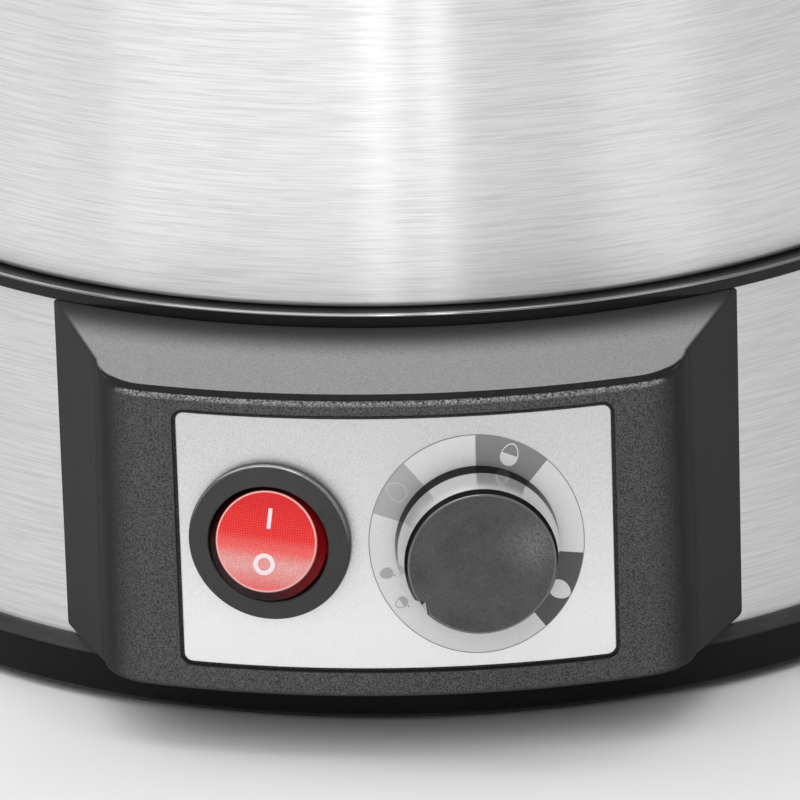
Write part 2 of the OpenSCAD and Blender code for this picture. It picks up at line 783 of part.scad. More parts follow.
module switch_rocker() color([0.85, 0.1, 0.1]) placed() at_switch()
    translate([0, 0, pivot_z]) rotate([-rocker_tilt, 0, 0]) {
        intersection() {
            sphere(rocker_ball_r);
            union() {
                translate([0, 0, -rocker_keel])
                    cylinder(h = rocker_keel + pivot_drop, r = rocker_base_r);
                translate([0, 0, pivot_drop])
                    cylinder(h = rocker_rise, r1 = rocker_base_r, r2 = rocker_face_r);
            }
        }
        rotate([0, 90, 0]) cylinder(h = 2 * (switch_body_r - 1.5 * pin_room),
            r = rocker_pin_r, center = true, $fn = 48);
    }

module switch_lamp() color([1, 0.6, 0.3]) placed() at_switch()
    translate([0, 0, lamp_r - pocket_depth]) rotate([0, 90, 0])
        cylinder(h = lamp_l, r = lamp_r, center = true, $fn = 48);

module switch_terminals() color("goldenrod") placed() at_switch()
    for (i = [-1, 0, 1])
        translate([-blade_w / 2, i * blade_pitch - blade_t / 2, -switch_depth - blade_l])
            cube([blade_w, blade_t, blade_l]);

// Puts children at the knob: local +Z points out of its face
module at_knob() { on_panel(knob_phi, panel_r, control_z) children(); }

module control_knob() color([0.12, 0.12, 0.12]) placed() at_knob() difference() {
    translate([0, 0, knob_gap])
        cylinder(h = knob_h - knob_gap, r1 = knob_back_r, r2 = knob_face_r);
    difference() {
        translate([0, 0, -1]) cylinder(h = knob_h - knob_cap + 1, r = knob_face_r - knob_wall);
        translate([0, 0, hub_z]) cylinder(h = knob_h, r = hub_r);
    }
    translate([0, 0, -1])
        cylinder(h = knob_h - knob_cap + 1, r = shaft_r + slip / 2, $fn = 48);
    translate([notch_ring * sin(notch_angle), notch_ring * cos(notch_angle), -1])
        cylinder(h = knob_h + 2, r = notch_r, $fn = 48);
}

module pot_shaft() color("silver") placed() at_knob()
    translate([0, 0, -pot_front - pot_t + pot_tail])
        cylinder(h = knob_h - knob_cap - loose + pot_front + pot_t - pot_tail,
            r = shaft_r, $fn = 48);

module pot_body() color([0.3, 0.32, 0.3]) placed() at_knob() difference() {
    union() {
        translate([0, 0, -pot_front - slip - pot_t]) cylinder(h = pot_t, r = pot_r);
        translate([0, 0, -pot_front - pot_t / 2])
            cylinder(h = pot_front + pot_t / 2 + bushing_out, r = bushing_r);
        for (i = [-1, 0, 1])
            translate([i * pot_pin_pitch - pot_pin_w / 2, -pot_r - pot_pin_out,
                -pot_front - pot_pin_out]) cube([pot_pin_w, pot_pin_l, pot_pin_t]);
    }
    translate([0, 0, -pot_front - slip - pot_t + pot_tail - 0.5])
        cylinder(h = pot_t + pot_front + bushing_out + 5, r = shaft_r + slip, $fn = 48);
}

module pot_nut() color("silver") placed() at_knob() difference() {
    cylinder(h = pot_nut_h, r = pot_nut_r, $fn = 6);
    translate([0, 0, -1]) cylinder(h = pot_nut_h + 2, r = bushing_r + slip, $fn = 48);
}

module circuit_board() color([0.1, 0.4, 0.2]) placed() difference() {
    translate([-board_w / 2, board_y, board_z]) cube([board_w, board_d, board_t]);
    for (x = [-1, 1], y = [board_hole_in, board_d - board_hole_in])
        translate([x * (board_w / 2 - board_hole_in), board_y + y, board_z - 1])
            cylinder(h = board_t + 2, r = board_screw_r + 0.2, $fn = 48);
}

module board_screws() color("silver") placed()
    for (x = [-1, 1], y = [board_hole_in, board_d - board_hole_in])
        translate([x * (board_w / 2 - board_hole_in), board_y + y, board_top]) {
            cylinder(h = board_head_h, r = board_head_r, $fn = 48);
            translate([0, 0, -board_t - board_screw_l])
                cylinder(h = board_t + board_screw_l, r = board_screw_r, $fn = 48);
        }

module relay() color([0.15, 0.15, 0.17]) placed()
    translate([relay_x, board_y + relay_y, board_top]) cube([relay_w, relay_d, relay_h]);

module film_capacitor() color([0.85, 0.7, 0.15]) placed()
    translate([film_x, board_y + film_y, board_top]) cube([film_w, film_d, film_h]);

module smoothing_capacitor() color([0.1, 0.15, 0.3]) placed()
    translate([smoothing_x, board_y + smoothing_y, board_top])
        cylinder(h = smoothing_h, r = smoothing_r, $fn = 64);

module control_chip() color([0.06, 0.06, 0.06]) placed()
    translate([chip_x, board_y + chip_y, board_top]) cube([chip_w, chip_d, chip_h]);

module buzzer() color([0.08, 0.08, 0.08]) placed()
    translate([buzzer_x, board_y + buzzer_y, board_top]) difference() {
        cylinder(h = buzzer_h, r = buzzer_r, $fn = 64);
        translate([0, 0, buzzer_h / 2])
            cylinder(h = buzzer_h, r = buzzer_hole_r, $fn = 48);
    }

module terminal_block() color([0.9, 0.9, 0.88]) placed()
    translate([0, block_y, floor_top]) difference() {
        translate([-block_w / 2, 0, 0]) cube([block_w, block_d, block_h]);
        for (i = [-1, 0, 1]) translate([i * block_pitch, 0, block_wire_z]) {
            translate([0, -1, 0]) rotate([-90, 0, 0])
                cylinder(h = block_d + 2, r = block_wire_r, $fn = 32);
            translate([0, block_d / 2, 0]) cylinder(h = block_h, r = block_screw_r, $fn = 32);
        }
    }

module cord_gland() color([0.08, 0.08, 0.08]) placed()
    translate([0, gland_seat, gland_z]) rotate([-90, 0, 0]) difference() {
        union() {
            cylinder(h = gland_flange_t, r = gland_flange_r);
            translate([0, 0, -gland_in]) cylinder(h = gland_in + 1, r = gland_body_r);
        }
        translate([0, 0, -gland_in - 1])
            cylinder(h = gland_in + gland_flange_t + 2, r = gland_bore_r);
    }

module gland_nut() color([0.1, 0.1, 0.1]) placed()
    translate([0, gland_seat - band_sheet - gland_nut_h - 1, gland_z]) rotate([-90, 0, 0])
    difference() {
        cylinder(h = gland_nut_h, r = gland_nut_r, $fn = 6);
        translate([0, 0, -1]) cylinder(h = gland_nut_h + 2, r = gland_body_r + slip);
    }

// A point given by its place on the front: across, up and out from the panel
function panel_point(phi, distance, across, up) = [
    distance * sin(phi) + across * cos(phi), -distance * cos(phi) + across * sin(phi),
    control_z + up
];

module inner_leads() color([0.75, 0.1, 0.1]) placed() {
    drop_back = board_y + board_d - board_hole_in;
    drop_front = board_y + lead_row;
    pin_x = element_ring * sin(element_end);
    pin_y = element_ring * cos(element_end);
    for (side = [-1, 1]) lead([
        [side * pin_x, pin_y, terminal_z - lead_r * 1.05],
        [side * pin_x, pin_y - lead_bow, terminal_z - lead_bow / 2],
        [side * lead_side, drop_back, board_top + lead_rise],
        [side * lead_side, drop_back, board_top]
    ], lead_r);
    for (x = [-block_pitch, 0, block_pitch]) lead([
        [x, block_y, floor_top + block_wire_z], [x, block_y - lead_bow, floor_top + block_wire_z],
        [x, drop_back, board_top + lead_rise], [x, drop_back, board_top]
    ], lead_r);
    for (i = [-1, 0, 1]) {
        blade = panel_point(switch_phi, panel_r - switch_depth - blade_l - lead_r * 1.05,
            blade_pitch * i * sin(switch_turn), blade_pitch * i * cos(switch_turn));
        solder_x = switch_lead_x - pot_pin_pitch * i;
        lead([blade, [blade[0] - i, board_y - lead_bow / 2, blade[2]],
            [solder_x, drop_front, board_top + lead_rise - 2 + 3 * i],
            [solder_x, drop_front, board_top]], lead_r);
        tab = panel_point(knob_phi, panel_r - pot_front - pot_pin_out - signal_r * 1.05,
            pot_pin_pitch * i, 1.5 - pot_r - pot_pin_out);
        pot_solder_x = pot_lead_x + pot_pin_pitch * i;
        lead([tab, [tab[0], board_y - lead_bow - 2, tab[2]],
            [pot_solder_x, drop_front, board_top + lead_rise - 2],
            [pot_solder_x, drop_front, board_top]], signal_r);
    }
}

module egg_tray() color([0.8, 0.8, 0.81]) placed() difference() {
    union() {
        translate([0, 0, tray_z]) cylinder(h = tray_sheet, r = tray_r, $fn = big_fn);
        translate([0, 0, tray_z]) difference() {
            cylinder(h = tray_edge, r = tray_r, $fn = big_fn);
            translate([0, 0, -1])
                cylinder(h = tray_edge + 2, r = tray_r - tray_sheet, $fn = big_fn);
        }
    }
    translate([0, 0, tray_z - 1]) cylinder(h = tray_sheet + 2, r = egg_hole_r);
    around(egg_angles, egg_ring) translate([0, 0, tray_z - 1])
        cylinder(h = tray_sheet + 2, r = egg_hole_r);
    around([0:60:300], egg_ring / sqrt(3)) translate([0, 0, tray_z - 1])
        cylinder(h = tray_sheet + 2, r = steam_hole_r, $fn = 48);
    around([60, 120, 240, 300], egg_ring * 1.25) translate([0, 0, tray_z - 1])
        cylinder(h = tray_sheet + 2, r = steam_hole_r, $fn = 48);
}

module tray_loops() color([0.7, 0.7, 0.72]) placed() for (side = [-1, 1])
    translate([side * loop_x, 0, tray_top]) {
        for (y = [-loop_w / 2, loop_w / 2]) translate([0, y, 0]) {
            cylinder(h = loop_h, r = wire_r, $fn = 48);
            cylinder(h = loop_foot_h, r = wire_r + loop_foot_out, $fn = 48);
            translate([0, 0, loop_h]) sphere(wire_r * 1.04, $fn = 48);
        }
        translate([0, -loop_w / 2, loop_h]) rotate([-90, 0, 0])
            cylinder(h = loop_w, r = wire_r, $fn = 48);
    }

module tray_grips() color([0.08, 0.08, 0.08]) placed() for (side = [-1, 1])
    translate([side * loop_x, -grip_l / 2, tray_top + loop_h]) rotate([-90, 0, 0])
        difference() {
            cylinder(h = grip_l, r = grip_r);
            translate([0, 0, -1]) cylinder(h = grip_l + 2, r = wire_r + slip, $fn = 48);
        }

// The lid's outline from its rim to its middle, pulled in by inset
function lid_outline(inset) = concat(
    [[lid_r - inset, lid_z]],
    [for (a = [0 : 6 : shoulder_end])
        [shoulder_x + (lid_shoulder - inset) * cos(a),
         lid_wall_top + (lid_shoulder - inset) * sin(a)]],
    [[seat_r, lid_top - inset], [0, lid_top - inset]]
);

module lid() color([0.82, 0.82, 0.83]) placed() difference() {
    rotate_extrude($fn = big_fn) difference() {
        polygon(concat(lid_outline(0), [[0, lid_z]]));
        translate([-0.01, 0]) polygon(concat(lid_outline(lid_sheet), [[0, lid_z]]));
        translate([-1, lid_z - 1]) square([lid_r - lid_sheet + 1, 1]);
    }
    for (side = [-1, 1]) translate([side * handle_pitch / 2, 0, lid_top - 5])
        cylinder(h = 10, r = handle_screw_r + loose, $fn = 48);
    translate([0, vent_ring, lid_top - 10]) cylinder(h = 20, r = vent_r, $fn = 48);
}

// Half of a flattened arch, as points from one foot to the other
function arch(half, rise) = [for (a = [0 : 6 : 180])
    [half * sign(cos(a)) * pow(abs(cos(a)), arch_side), rise * pow(sin(a), arch_top)]];

module lid_handle() color([0.07, 0.07, 0.07]) placed() translate([0, 0, lid_top])
    difference() {
        rotate([90, 0, 0]) translate([0, 0, -handle_w / 2]) linear_extrude(handle_w)
            difference() {
                polygon(arch(handle_l / 2, handle_h));
                polygon(arch(handle_pitch / 2 - handle_leg, handle_h - handle_bar));
            }
        for (side = [-1, 1]) translate([side * handle_pitch / 2, 0, -1])
            cylinder(h = handle_screw_in + 2, r = handle_screw_r + slip, $fn = 48);
    }

module handle_washers() color("silver") placed() for (side = [-1, 1])
    translate([side * handle_pitch / 2, 0, lid_top - lid_sheet - washer_t]) difference() {
        cylinder(h = washer_t, r = washer_r);
        translate([0, 0, -1]) cylinder(h = washer_t + 2, r = handle_screw_r + 0.2, $fn = 48);
    }

module handle_screws() color("silver") placed() for (side = [-1, 1])
    translate([side * handle_pitch / 2, 0, lid_top - lid_sheet - washer_t]) {
        translate([0, 0, -handle_head_h]) cylinder(h = handle_head_h, r = handle_head_r);
        cylinder(h = lid_sheet + washer_t + handle_screw_in, r = handle_screw_r, $fn = 48);
    }

rubber_feet();
base_pan();
case_screws();
housing_band();
rim_ring();
bowl_seal();
heating_bowl();
heater_plate();
heating_element();
element_terminals();
clamp_plate();
clamp_nuts();
sensor_capsule();
sensor_spring();
thermal_fuse();
fuse_clip();
control_console();
console_screws();
label_plate();
switch_frame();
switch_rocker();
switch_lamp();
switch_terminals();
control_knob();
pot_shaft();
pot_body();
pot_nut();
circuit_board();
board_screws();
relay();
film_capacitor();
smoothing_capacitor();
control_chip();
buzzer();
terminal_block();
cord_gland();
gland_nut();
inner_leads();
egg_tray();
tray_loops();
tray_grips();
lid();
lid_handle();
handle_washers();
handle_screws();
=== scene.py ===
"""Looks of the egg cooker. Lengths here are in millimetres, and each mesh is made in metres."""
import bpy
import bmesh
import json
from math import asin, atan2, cos, degrees, hypot, pi, radians, sin, sqrt, tan
from mathutils import Matrix, Vector


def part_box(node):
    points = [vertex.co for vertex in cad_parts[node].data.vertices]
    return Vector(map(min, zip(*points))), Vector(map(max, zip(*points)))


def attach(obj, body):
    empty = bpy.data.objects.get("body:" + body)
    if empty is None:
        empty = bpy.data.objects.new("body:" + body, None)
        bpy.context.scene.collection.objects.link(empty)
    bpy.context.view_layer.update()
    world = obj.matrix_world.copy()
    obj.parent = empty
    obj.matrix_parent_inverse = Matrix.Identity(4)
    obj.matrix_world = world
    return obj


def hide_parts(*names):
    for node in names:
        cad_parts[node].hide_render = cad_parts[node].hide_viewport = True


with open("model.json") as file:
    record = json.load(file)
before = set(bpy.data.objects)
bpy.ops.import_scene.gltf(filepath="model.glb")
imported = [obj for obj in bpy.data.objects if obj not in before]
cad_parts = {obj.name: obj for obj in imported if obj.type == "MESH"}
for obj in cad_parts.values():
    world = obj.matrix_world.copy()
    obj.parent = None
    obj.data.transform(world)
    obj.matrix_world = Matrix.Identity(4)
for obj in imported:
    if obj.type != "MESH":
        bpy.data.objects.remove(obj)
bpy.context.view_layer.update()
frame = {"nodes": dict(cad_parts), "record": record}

# ---- sizes, as in the CAD source
MM = 0.001
base_low, base_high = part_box("base_pan")
AXIS_Y = (base_low.y + base_high.y) / 2 / MM  # the round housing's middle
BASE_R, RING_Z, BAND_Z, BAND_TOP, LEDGE_Z = 91.5, 1.2, 8.8, 59.0, 61.0
BAND_R, BAND_TAPER, BAND_SHEET = 89.5, 1.4, 0.6
RIM_R = 88.7
POSTS, POST_RING = (35, 145, 215, 325), 79.0  # the rim ring's posts: angles and distance from the axis
CONSOLE_Z, CONSOLE_TOP, FRONT_R, CONSOLE_HALF, FLANK = 10.5, 58.5, 106.4, 32.75, 21.0
CREASE_RUN, CREASE_FACE, CORNER_R = 17.7, 5.1, 10.0
WALL = 2.4
SLOPE = 3.2 / (FRONT_R - BAND_R)
LABEL_R, LABEL_T, LABEL_W, LABEL_H = 106.0, 0.6, 60.6, 37.2
LABEL_CORNER, LABEL_GROOVE, LABEL_MID = 1.2, 0.5, 33.2
PANEL_R, CONTROL_Z, SWITCH_PHI, SWITCH_TURN, KNOB_PHI = 106.05, 33.3, -9.35, 5.5, 6.35
SWITCH_OFF, DIAL_OFF, LABEL_OFF = (0.25, 0.45), (0.1, -0.50), 0.45  # across and up, within the fits
SWITCH_CUT_R, BUSHING_CUT_R = 9.9, 3.6
LID_R, LID_WALL_TOP, LID_TOP, LID_SHEET = 86.2, 106.0, 134.766, 0.9
SHOULDER_X, SHOULDER_R, SHOULDER_END, SEAT_R = 60.9, 24.0, 78.0, 41.0
TRAY_Z, TRAY_R = 60.4, 75.7
SEGMENTS = 256
STEEL_EDGE = 28  # degrees at which an edge of sheet steel stays sharp
PLACED = Matrix.Translation((0, AXIS_Y, 0))  # the housing's axis
scene = bpy.context.scene


def band_at(z):
    """The band's outer radius at a height."""
    return BAND_R - BAND_TAPER * (z - BAND_Z) / (BAND_TOP - BAND_Z)


# ---- mesh helpers
def shift(x, y, z=0.0):
    return Matrix.Translation((x, y, z))


def about(axis, angle):
    return Matrix.Rotation(radians(angle), 4, axis)


def panel(phi, distance, z, turn=0.0):
    """Place on the front: local +Z points out, local +Y up."""
    return PLACED @ about("Z", phi) @ shift(0, -distance, z) @ about("X", 90) @ about("Z", -turn)


def around(angle, distance):
    """Place at an angle round the housing's axis."""
    return PLACED @ about("Z", angle) @ shift(distance, 0)


def at(x, y, z=0.0):
    """Place beside the housing's axis."""
    return PLACED @ shift(x, y, z)


def rounded(points, steps=6):
    """A closed profile whose (x, y, radius) corners become arcs."""
    out, n = [], len(points)
    for i, point in enumerate(points):
        here, radius = Vector(point[:2]), (point[2] if len(point) > 2 else 0)
        if not radius:
            out.append(tuple(here))
            continue
        to_a = (Vector(points[i - 1][:2]) - here).normalized()
        to_b = (Vector(points[(i + 1) % n][:2]) - here).normalized()
        half = to_a.angle(to_b) / 2
        centre = here + (to_a + to_b).normalized() * (radius / sin(half))
        first, last = here + to_a * (radius / tan(half)) - centre, here + to_b * (radius / tan(half)) - centre
        start = atan2(first.y, first.x)
        sweep = (atan2(last.y, last.x) - start + pi) % (2 * pi) - pi
        out += [(centre.x + radius * cos(start + sweep * k / steps),
                 centre.y + radius * sin(start + sweep * k / steps)) for k in range(steps + 1)]
    return out


def lathe(profile, segments=SEGMENTS, closed=True):
    """A profile of (radius, height) turned about Z."""
    verts, faces, rings = [], [], []
    for r, z in profile:
        count = 1 if r < 1e-6 else segments
        rings.append(list(range(len(verts), len(verts) + count)))
        verts += [(r * cos(2 * pi * i / count), r * sin(2 * pi * i / count), z) for i in range(count)]
    for a, b in zip(rings, rings[1:] + (rings[:1] if closed else [])):
        if len(a) == len(b) == 1:
            continue
        for i in range(segments):
            j = (i + 1) % segments
            quad = [a[i % len(a)], a[j % len(a)], b[j % len(b)], b[i % len(b)]]
            faces.append(list(dict.fromkeys(quad)))
    return verts, faces


def sheet_of(rows):
    """Quads between rows of points that have the same length."""
    width = len(rows[0])
    return [p for row in rows for p in row], [[k + i, k + i + 1, k + i + 1 + width, k + i + width]
                                              for k in range(0, (len(rows) - 1) * width, width)
                                              for i in range(width - 1)]


def sweep(path, radius, sides=20):
    """A round bar along a path, with closed ends."""
    rings = []
    for k, p in enumerate(path):
        ahead = (Vector(path[min(k + 1, len(path) - 1)]) - Vector(path[max(k - 1, 0)])).normalized()
        side = ahead.cross(Vector((1, 0, 0)) if abs(ahead.x) < 0.9 else Vector((0, 0, 1))).normalized()
        up = side.cross(ahead)
        rings.append([tuple(Vector(p) + side * (radius * cos(a)) + up * (radius * sin(a)))
                      for a in [2 * pi * i / sides for i in range(sides)]])
    verts = [p for ring in rings for p in ring]
    faces = [[k * sides + i, k * sides + (i + 1) % sides, (k + 1) * sides + (i + 1) % sides, (k + 1) * sides + i]
             for k in range(len(rings) - 1) for i in range(sides)]
    return verts, faces + [list(range(sides)), list(range(len(verts) - sides, len(verts)))]


def joined(*shapes):
    """Several shapes as one."""
    verts, faces = [], []
    for more_verts, more_faces in shapes:
        faces += [[i + len(verts) for i in face] for face in more_faces]
        verts += list(more_verts)
    return verts, faces


def moved(shape, place):
    """A shape in another place."""
    return [tuple(place @ Vector(v)) for v in shape[0]], shape[1]


def block(low, high):
    """A box between two corners."""
    (x0, y0, z0), (x1, y1, z1) = low, high
    verts = [(x, y, z) for z in (z0, z1) for y in (y0, y1) for x in (x0, x1)]
    return verts, [[0, 2, 3, 1], [4, 5, 7, 6], [0, 1, 5, 4], [2, 6, 7, 3], [0, 4, 6, 2], [1, 3, 7, 5]]


def rod(radius, low, high, segments=64):
    """A cylinder about Z."""
    return lathe([(0, low), (radius, low), (radius, high), (0, high)], segments, closed=False)


def add(name, data):
    obj = bpy.data.objects.new(name, data)
    scene.collection.objects.link(obj)
    return obj


def new_object(name, shape, place=Matrix()):
    """An object in metres from a shape in millimetres."""
    mesh = bpy.data.meshes.new(name)
    mesh.from_pydata([tuple(place @ Vector(v) * MM) for v in shape[0]], [], shape[1])
    bm = bmesh.new()
    bm.from_mesh(mesh)
    bmesh.ops.remove_doubles(bm, verts=bm.verts, dist=1e-7)
    bmesh.ops.recalc_face_normals(bm, faces=bm.faces)
    bm.to_mesh(mesh)
    bm.free()
    return add(name, mesh)


def spun(name, profile, place=PLACED, segments=SEGMENTS):
    """A rounded profile turned about its axis."""
    return new_object(name, lathe(rounded(profile), segments), place)


def cut(obj, *shapes, operation="DIFFERENCE"):
    """Cuts shapes, each a (shape, place) pair, out of an object."""
    cutters = [new_object("cutter", shape, place) for shape, place in shapes]
    for cutter in cutters:
        change = obj.modifiers.new("cut", "BOOLEAN")
        change.operation, change.solver, change.object = operation, "EXACT", cutter
    bake(obj)
    for cutter in cutters:
        bpy.data.objects.remove(cutter)


def weld(obj, *shapes):
    """Joins such pairs to an object."""
    cut(obj, *shapes, operation="UNION")


def bake(obj):
    """Applies an object's modifiers."""
    bpy.context.view_layer.update()
    done = bpy.data.meshes.new_from_object(obj.evaluated_get(bpy.context.evaluated_depsgraph_get()))
    obj.modifiers.clear()
    obj.data = done


def bevel(obj, width, angle, steps):
    """Rounds the edges that are sharper than an angle."""
    change = obj.modifiers.new("bevel", "BEVEL")
    change.width, change.segments, change.limit_method = width * MM, steps, "ANGLE"
    change.angle_limit = radians(angle)
    change.use_clamp_overlap = True
    bake(obj)


def dress(obj, looks, body, nodes=(), sharp=32, slot=None):
    """Gives a piece its material, smooth shading and body. The slot argument is not used."""
    mesh, slot = obj.data, slot or looks
    mesh.materials.clear()
    mesh.materials.append(M[looks])
    for face in mesh.polygons:
        face.use_smooth = True
    mesh.set_sharp_from_angle(angle=radians(sharp))
    even = obj.modifiers.new("even", "WEIGHTED_NORMAL")
    even.keep_sharp = True
    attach(obj, body)
    if nodes:
        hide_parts(*nodes)


# ---- materials
M = {}


def rgba(colour):
    """A colour, or a grey, that is opaque."""
    return (*colour, 1) if isinstance(colour, tuple) else (colour, colour, colour, 1)


class Nodes:
    """Makes, fills and links the nodes of one tree. An input is named, or i0, i1 and so on."""

    def __init__(self, tree):
        self.tree = tree

    def __call__(self, kind, settings=None, **inputs):
        node = self.tree.nodes.new(kind)
        for key, value in (settings or {}).items():
            setattr(node, key, value)
        self.put(node, **inputs)
        return node

    def put(self, node, **inputs):
        for key, value in inputs.items():
            socket = node.inputs[int(key[1:]) if key[1:].isdigit() else key.replace("_", " ")]
            if isinstance(value, bpy.types.NodeSocket):
                self.tree.links.new(value, socket)
            else:
                socket.default_value = value

    def math(self, operation, a, b=0.0, clamp=False):
        return self("ShaderNodeMath", {"operation": operation, "use_clamp": clamp}, i0=a, i1=b).outputs[0]

    def plus(self, a, b):
        return self.math("ADD", a, b)

    def minus(self, a, b):
        return self.math("SUBTRACT", a, b)

    def over(self, a, b):
        return self.math("DIVIDE", a, b)

    def times(self, first, *factors):
        for factor in factors:
            first = self.math("MULTIPLY", first, factor)
        return first

    def above(self, value, limit):
        return self.math("GREATER_THAN", value, limit)

    def length(self, x, y):
        return self.math("SQRT", self.plus(self.times(x, x), self.times(y, y)))

    def axes(self, vector):
        return self("ShaderNodeSeparateXYZ", i0=vector).outputs

    def ramp(self, value, stops, smooth="LINEAR"):
        """Stops of (place, grey or colour)."""
        node = self("ShaderNodeValToRGB", i0=value)
        node.color_ramp.interpolation = smooth
        elements = node.color_ramp.elements
        while len(elements) < len(stops):
            elements.new(1.0)
        for element, (place, colour) in zip(elements, stops):
            element.position = place
            element.color = rgba(colour)
        return node.outputs[0]

    def noise(self, vector, scale, detail=3.0, roughness=0.5):
        return self("ShaderNodeTexNoise", Vector=vector, Scale=scale, Detail=detail, Roughness=roughness).outputs[0]

    def mix(self, factor, a, b):
        a, b = [v if isinstance(v, bpy.types.NodeSocket) else rgba(v) for v in (a, b)]
        return self("ShaderNodeMix", {"data_type": "RGBA"}, i0=factor, i6=a, i7=b).outputs[2]

    def bump(self, height, strength, distance):
        return self("ShaderNodeBump", Height=height, Strength=strength, Distance=distance * MM).outputs[0]


def srgb(*values):
    """Linear colour from 0 to 255 screen values."""
    return tuple(v / 255 / 12.92 if v <= 10 else ((v / 255 + 0.055) / 1.055) ** 2.4 for v in values)


def material(name, colour=(0.5, 0.5, 0.5), rough=0.5, metal=0.0, **more):
    """Makes a material, and gives its node helper and its shader."""
    M[name] = bpy.data.materials.new(name)
    M[name].use_nodes = True
    n, shader = nodes_of(name)
    n.put(shader, Base_Color=rgba(colour), Roughness=rough, Metallic=metal, **more)
    return n, shader


def nodes_of(name):
    """The node helper and the shader of a material."""
    tree = M[name].node_tree
    return Nodes(tree), tree.nodes["Principled BSDF"]


def so_far(shader, key):
    """What an input of a shader is linked to."""
    return shader.inputs[key].links[0].from_socket


def place_of(n):
    """Coordinates in the object's own space, in metres."""
    return n("ShaderNodeTexCoord").outputs["Object"]


def in_mm(n):
    """The same in millimetres."""
    return n("ShaderNodeVectorMath", {"operation": "SCALE"}, i0=place_of(n), Scale=1 / MM).outputs[0]


def turned(n, along, across):
    """Seamless coordinates round the housing: few waves round it, many across."""
    x, y, z = n.axes(place_of(n))
    y = n.minus(y, AXIS_Y * MM)
    radius = n.length(x, y)
    safe = n.math("MAXIMUM", radius, 1e-4)
    return n("ShaderNodeCombineXYZ",
             i0=n.times(n.over(x, safe), along), i1=n.times(n.over(y, safe), along),
             i2=n.times(n.plus(z, radius), across)).outputs[0]


def brushed(name, colour, rough, spread):
    """Steel brushed round the housing."""
    n, s = material(name, colour, rough, 1.0, Anisotropic=spread, Anisotropic_Rotation=0.25)
    fine = n.noise(turned(n, 9.0, 5400.0), 1.0, 2.0, 0.65)
    long = n.noise(turned(n, 3.5, 2300.0), 1.0, 2.0, 0.6)
    streaks = n.plus(n.times(fine, 0.75), n.times(long, 0.25))
    low = tuple(c * 0.87 for c in colour)
    high = tuple(min(c * 1.06, 1) for c in colour)
    n.put(s, Base_Color=n.ramp(streaks, [(0.38, low), (0.58, high)]),
          Roughness=n.plus(n.times(streaks, 0.12), rough - 0.06), Normal=n.bump(streaks, 0.15, 0.02),
          Tangent=n("ShaderNodeTangent", {"direction_type": "RADIAL", "axis": "Z"}).outputs[0])


def moulded(name, colour, rough, grain=0.25, depth=0.03, level=0.5, strength=0.5, sparkle=0.0):
    """Moulded plastic or rubber with an eroded grain of the given size."""
    n, s = material(name, colour, rough, 0.0, Specular_IOR_Level=level)
    where = place_of(n)
    fine = n.noise(where, 1000.0 / grain / 2, 2.0, 0.6)
    broad = n.noise(where, 1000.0 / grain / 14, 2.0, 0.5)
    low, high = tuple(c * (0.84 - sparkle) for c in colour), tuple(c * (1.16 + sparkle) for c in colour)
    mottle = n.plus(n.times(fine, 0.7), n.times(broad, 0.3))
    n.put(s, Base_Color=n.ramp(mottle, [(0.35, low), (0.65, high)]),
          Roughness=n.plus(n.times(fine, 0.2), rough - 0.1), Normal=n.bump(fine, strength, depth))


def polished(name, colour, rough, metal=1.0, size=3.0, dents=0.1, **more):
    """Metal or gloss with faint unevenness and wear."""
    n, s = material(name, colour, rough, metal, **more)
    where = place_of(n)
    cloud = n.noise(where, 1000.0 / size, 3.0, 0.6)
    scratch = n.noise(where, 1000.0 / size * 8, 2.0, 0.5)
    low, high = tuple(c * 0.88 for c in colour), tuple(min(c * 1.1, 1) for c in colour)
    n.put(s, Base_Color=n.ramp(cloud, [(0.3, low), (0.7, high)]),
          Roughness=n.plus(n.times(scratch, 0.12), max(rough - 0.06, 0.01)), Normal=n.bump(scratch, dents, 0.01))


def overlay(name, mask, grey):
    """Lays a grey over a material's own colour."""
    n, s = nodes_of(name)
    n.put(s, Base_Color=n.mix(mask(n), so_far(s, "Base Color"), grey))


def from_axis(n):
    """How far a point is from the housing's axis and how high, in millimetres."""
    x, y, z = n.axes(in_mm(n))
    y = n.minus(y, AXIS_Y)
    return n.length(x, y), z


# name, colour, roughness, then what each kind of material takes
BRUSHED = (
    ("lid_steel", (0.92, 0.92, 0.925), 0.32, 1.0),
    ("band_steel", (0.82, 0.82, 0.825), 0.38, 0.95),
)
MOULDED = (
    ("base_plastic", (0.006, 0.006, 0.006), 0.34, 0.5, 0.01, 0.12, 0.2),
    ("console_plastic", (0.015, 0.015, 0.0154), 0.78, 0.22, 0.05, 0.25, 0.7, 0.1),
    ("foot_rubber", (0.022, 0.022, 0.023), 0.8, 0.6, 0.03, 0.3),
    ("switch_plastic", (0.031, 0.029, 0.030), 0.5, 0.2, 0.02, 0.45, 0.6),
    ("grip_plastic", (0.018, 0.018, 0.019), 0.45, 0.3, 0.02),
    ("seal_silicone", (0.42, 0.06, 0.04), 0.6, 0.8, 0.02),
    ("lead_red", (0.5, 0.02, 0.02), 0.45, 0.6, 0.01),
    ("block_ivory", (0.72, 0.70, 0.62), 0.5, 0.6, 0.01),
    ("board_green", (0.02, 0.16, 0.06), 0.35, 0.8, 0.01),
    ("component_black", (0.02, 0.02, 0.022), 0.5, 0.4, 0.02),
    ("capacitor_yellow", (0.65, 0.42, 0.04), 0.35, 0.6, 0.01),
    ("capacitor_blue", (0.02, 0.04, 0.16), 0.3, 0.6, 0.01),
    ("fuse_ceramic", (0.75, 0.74, 0.70), 0.55, 0.4, 0.02),
)
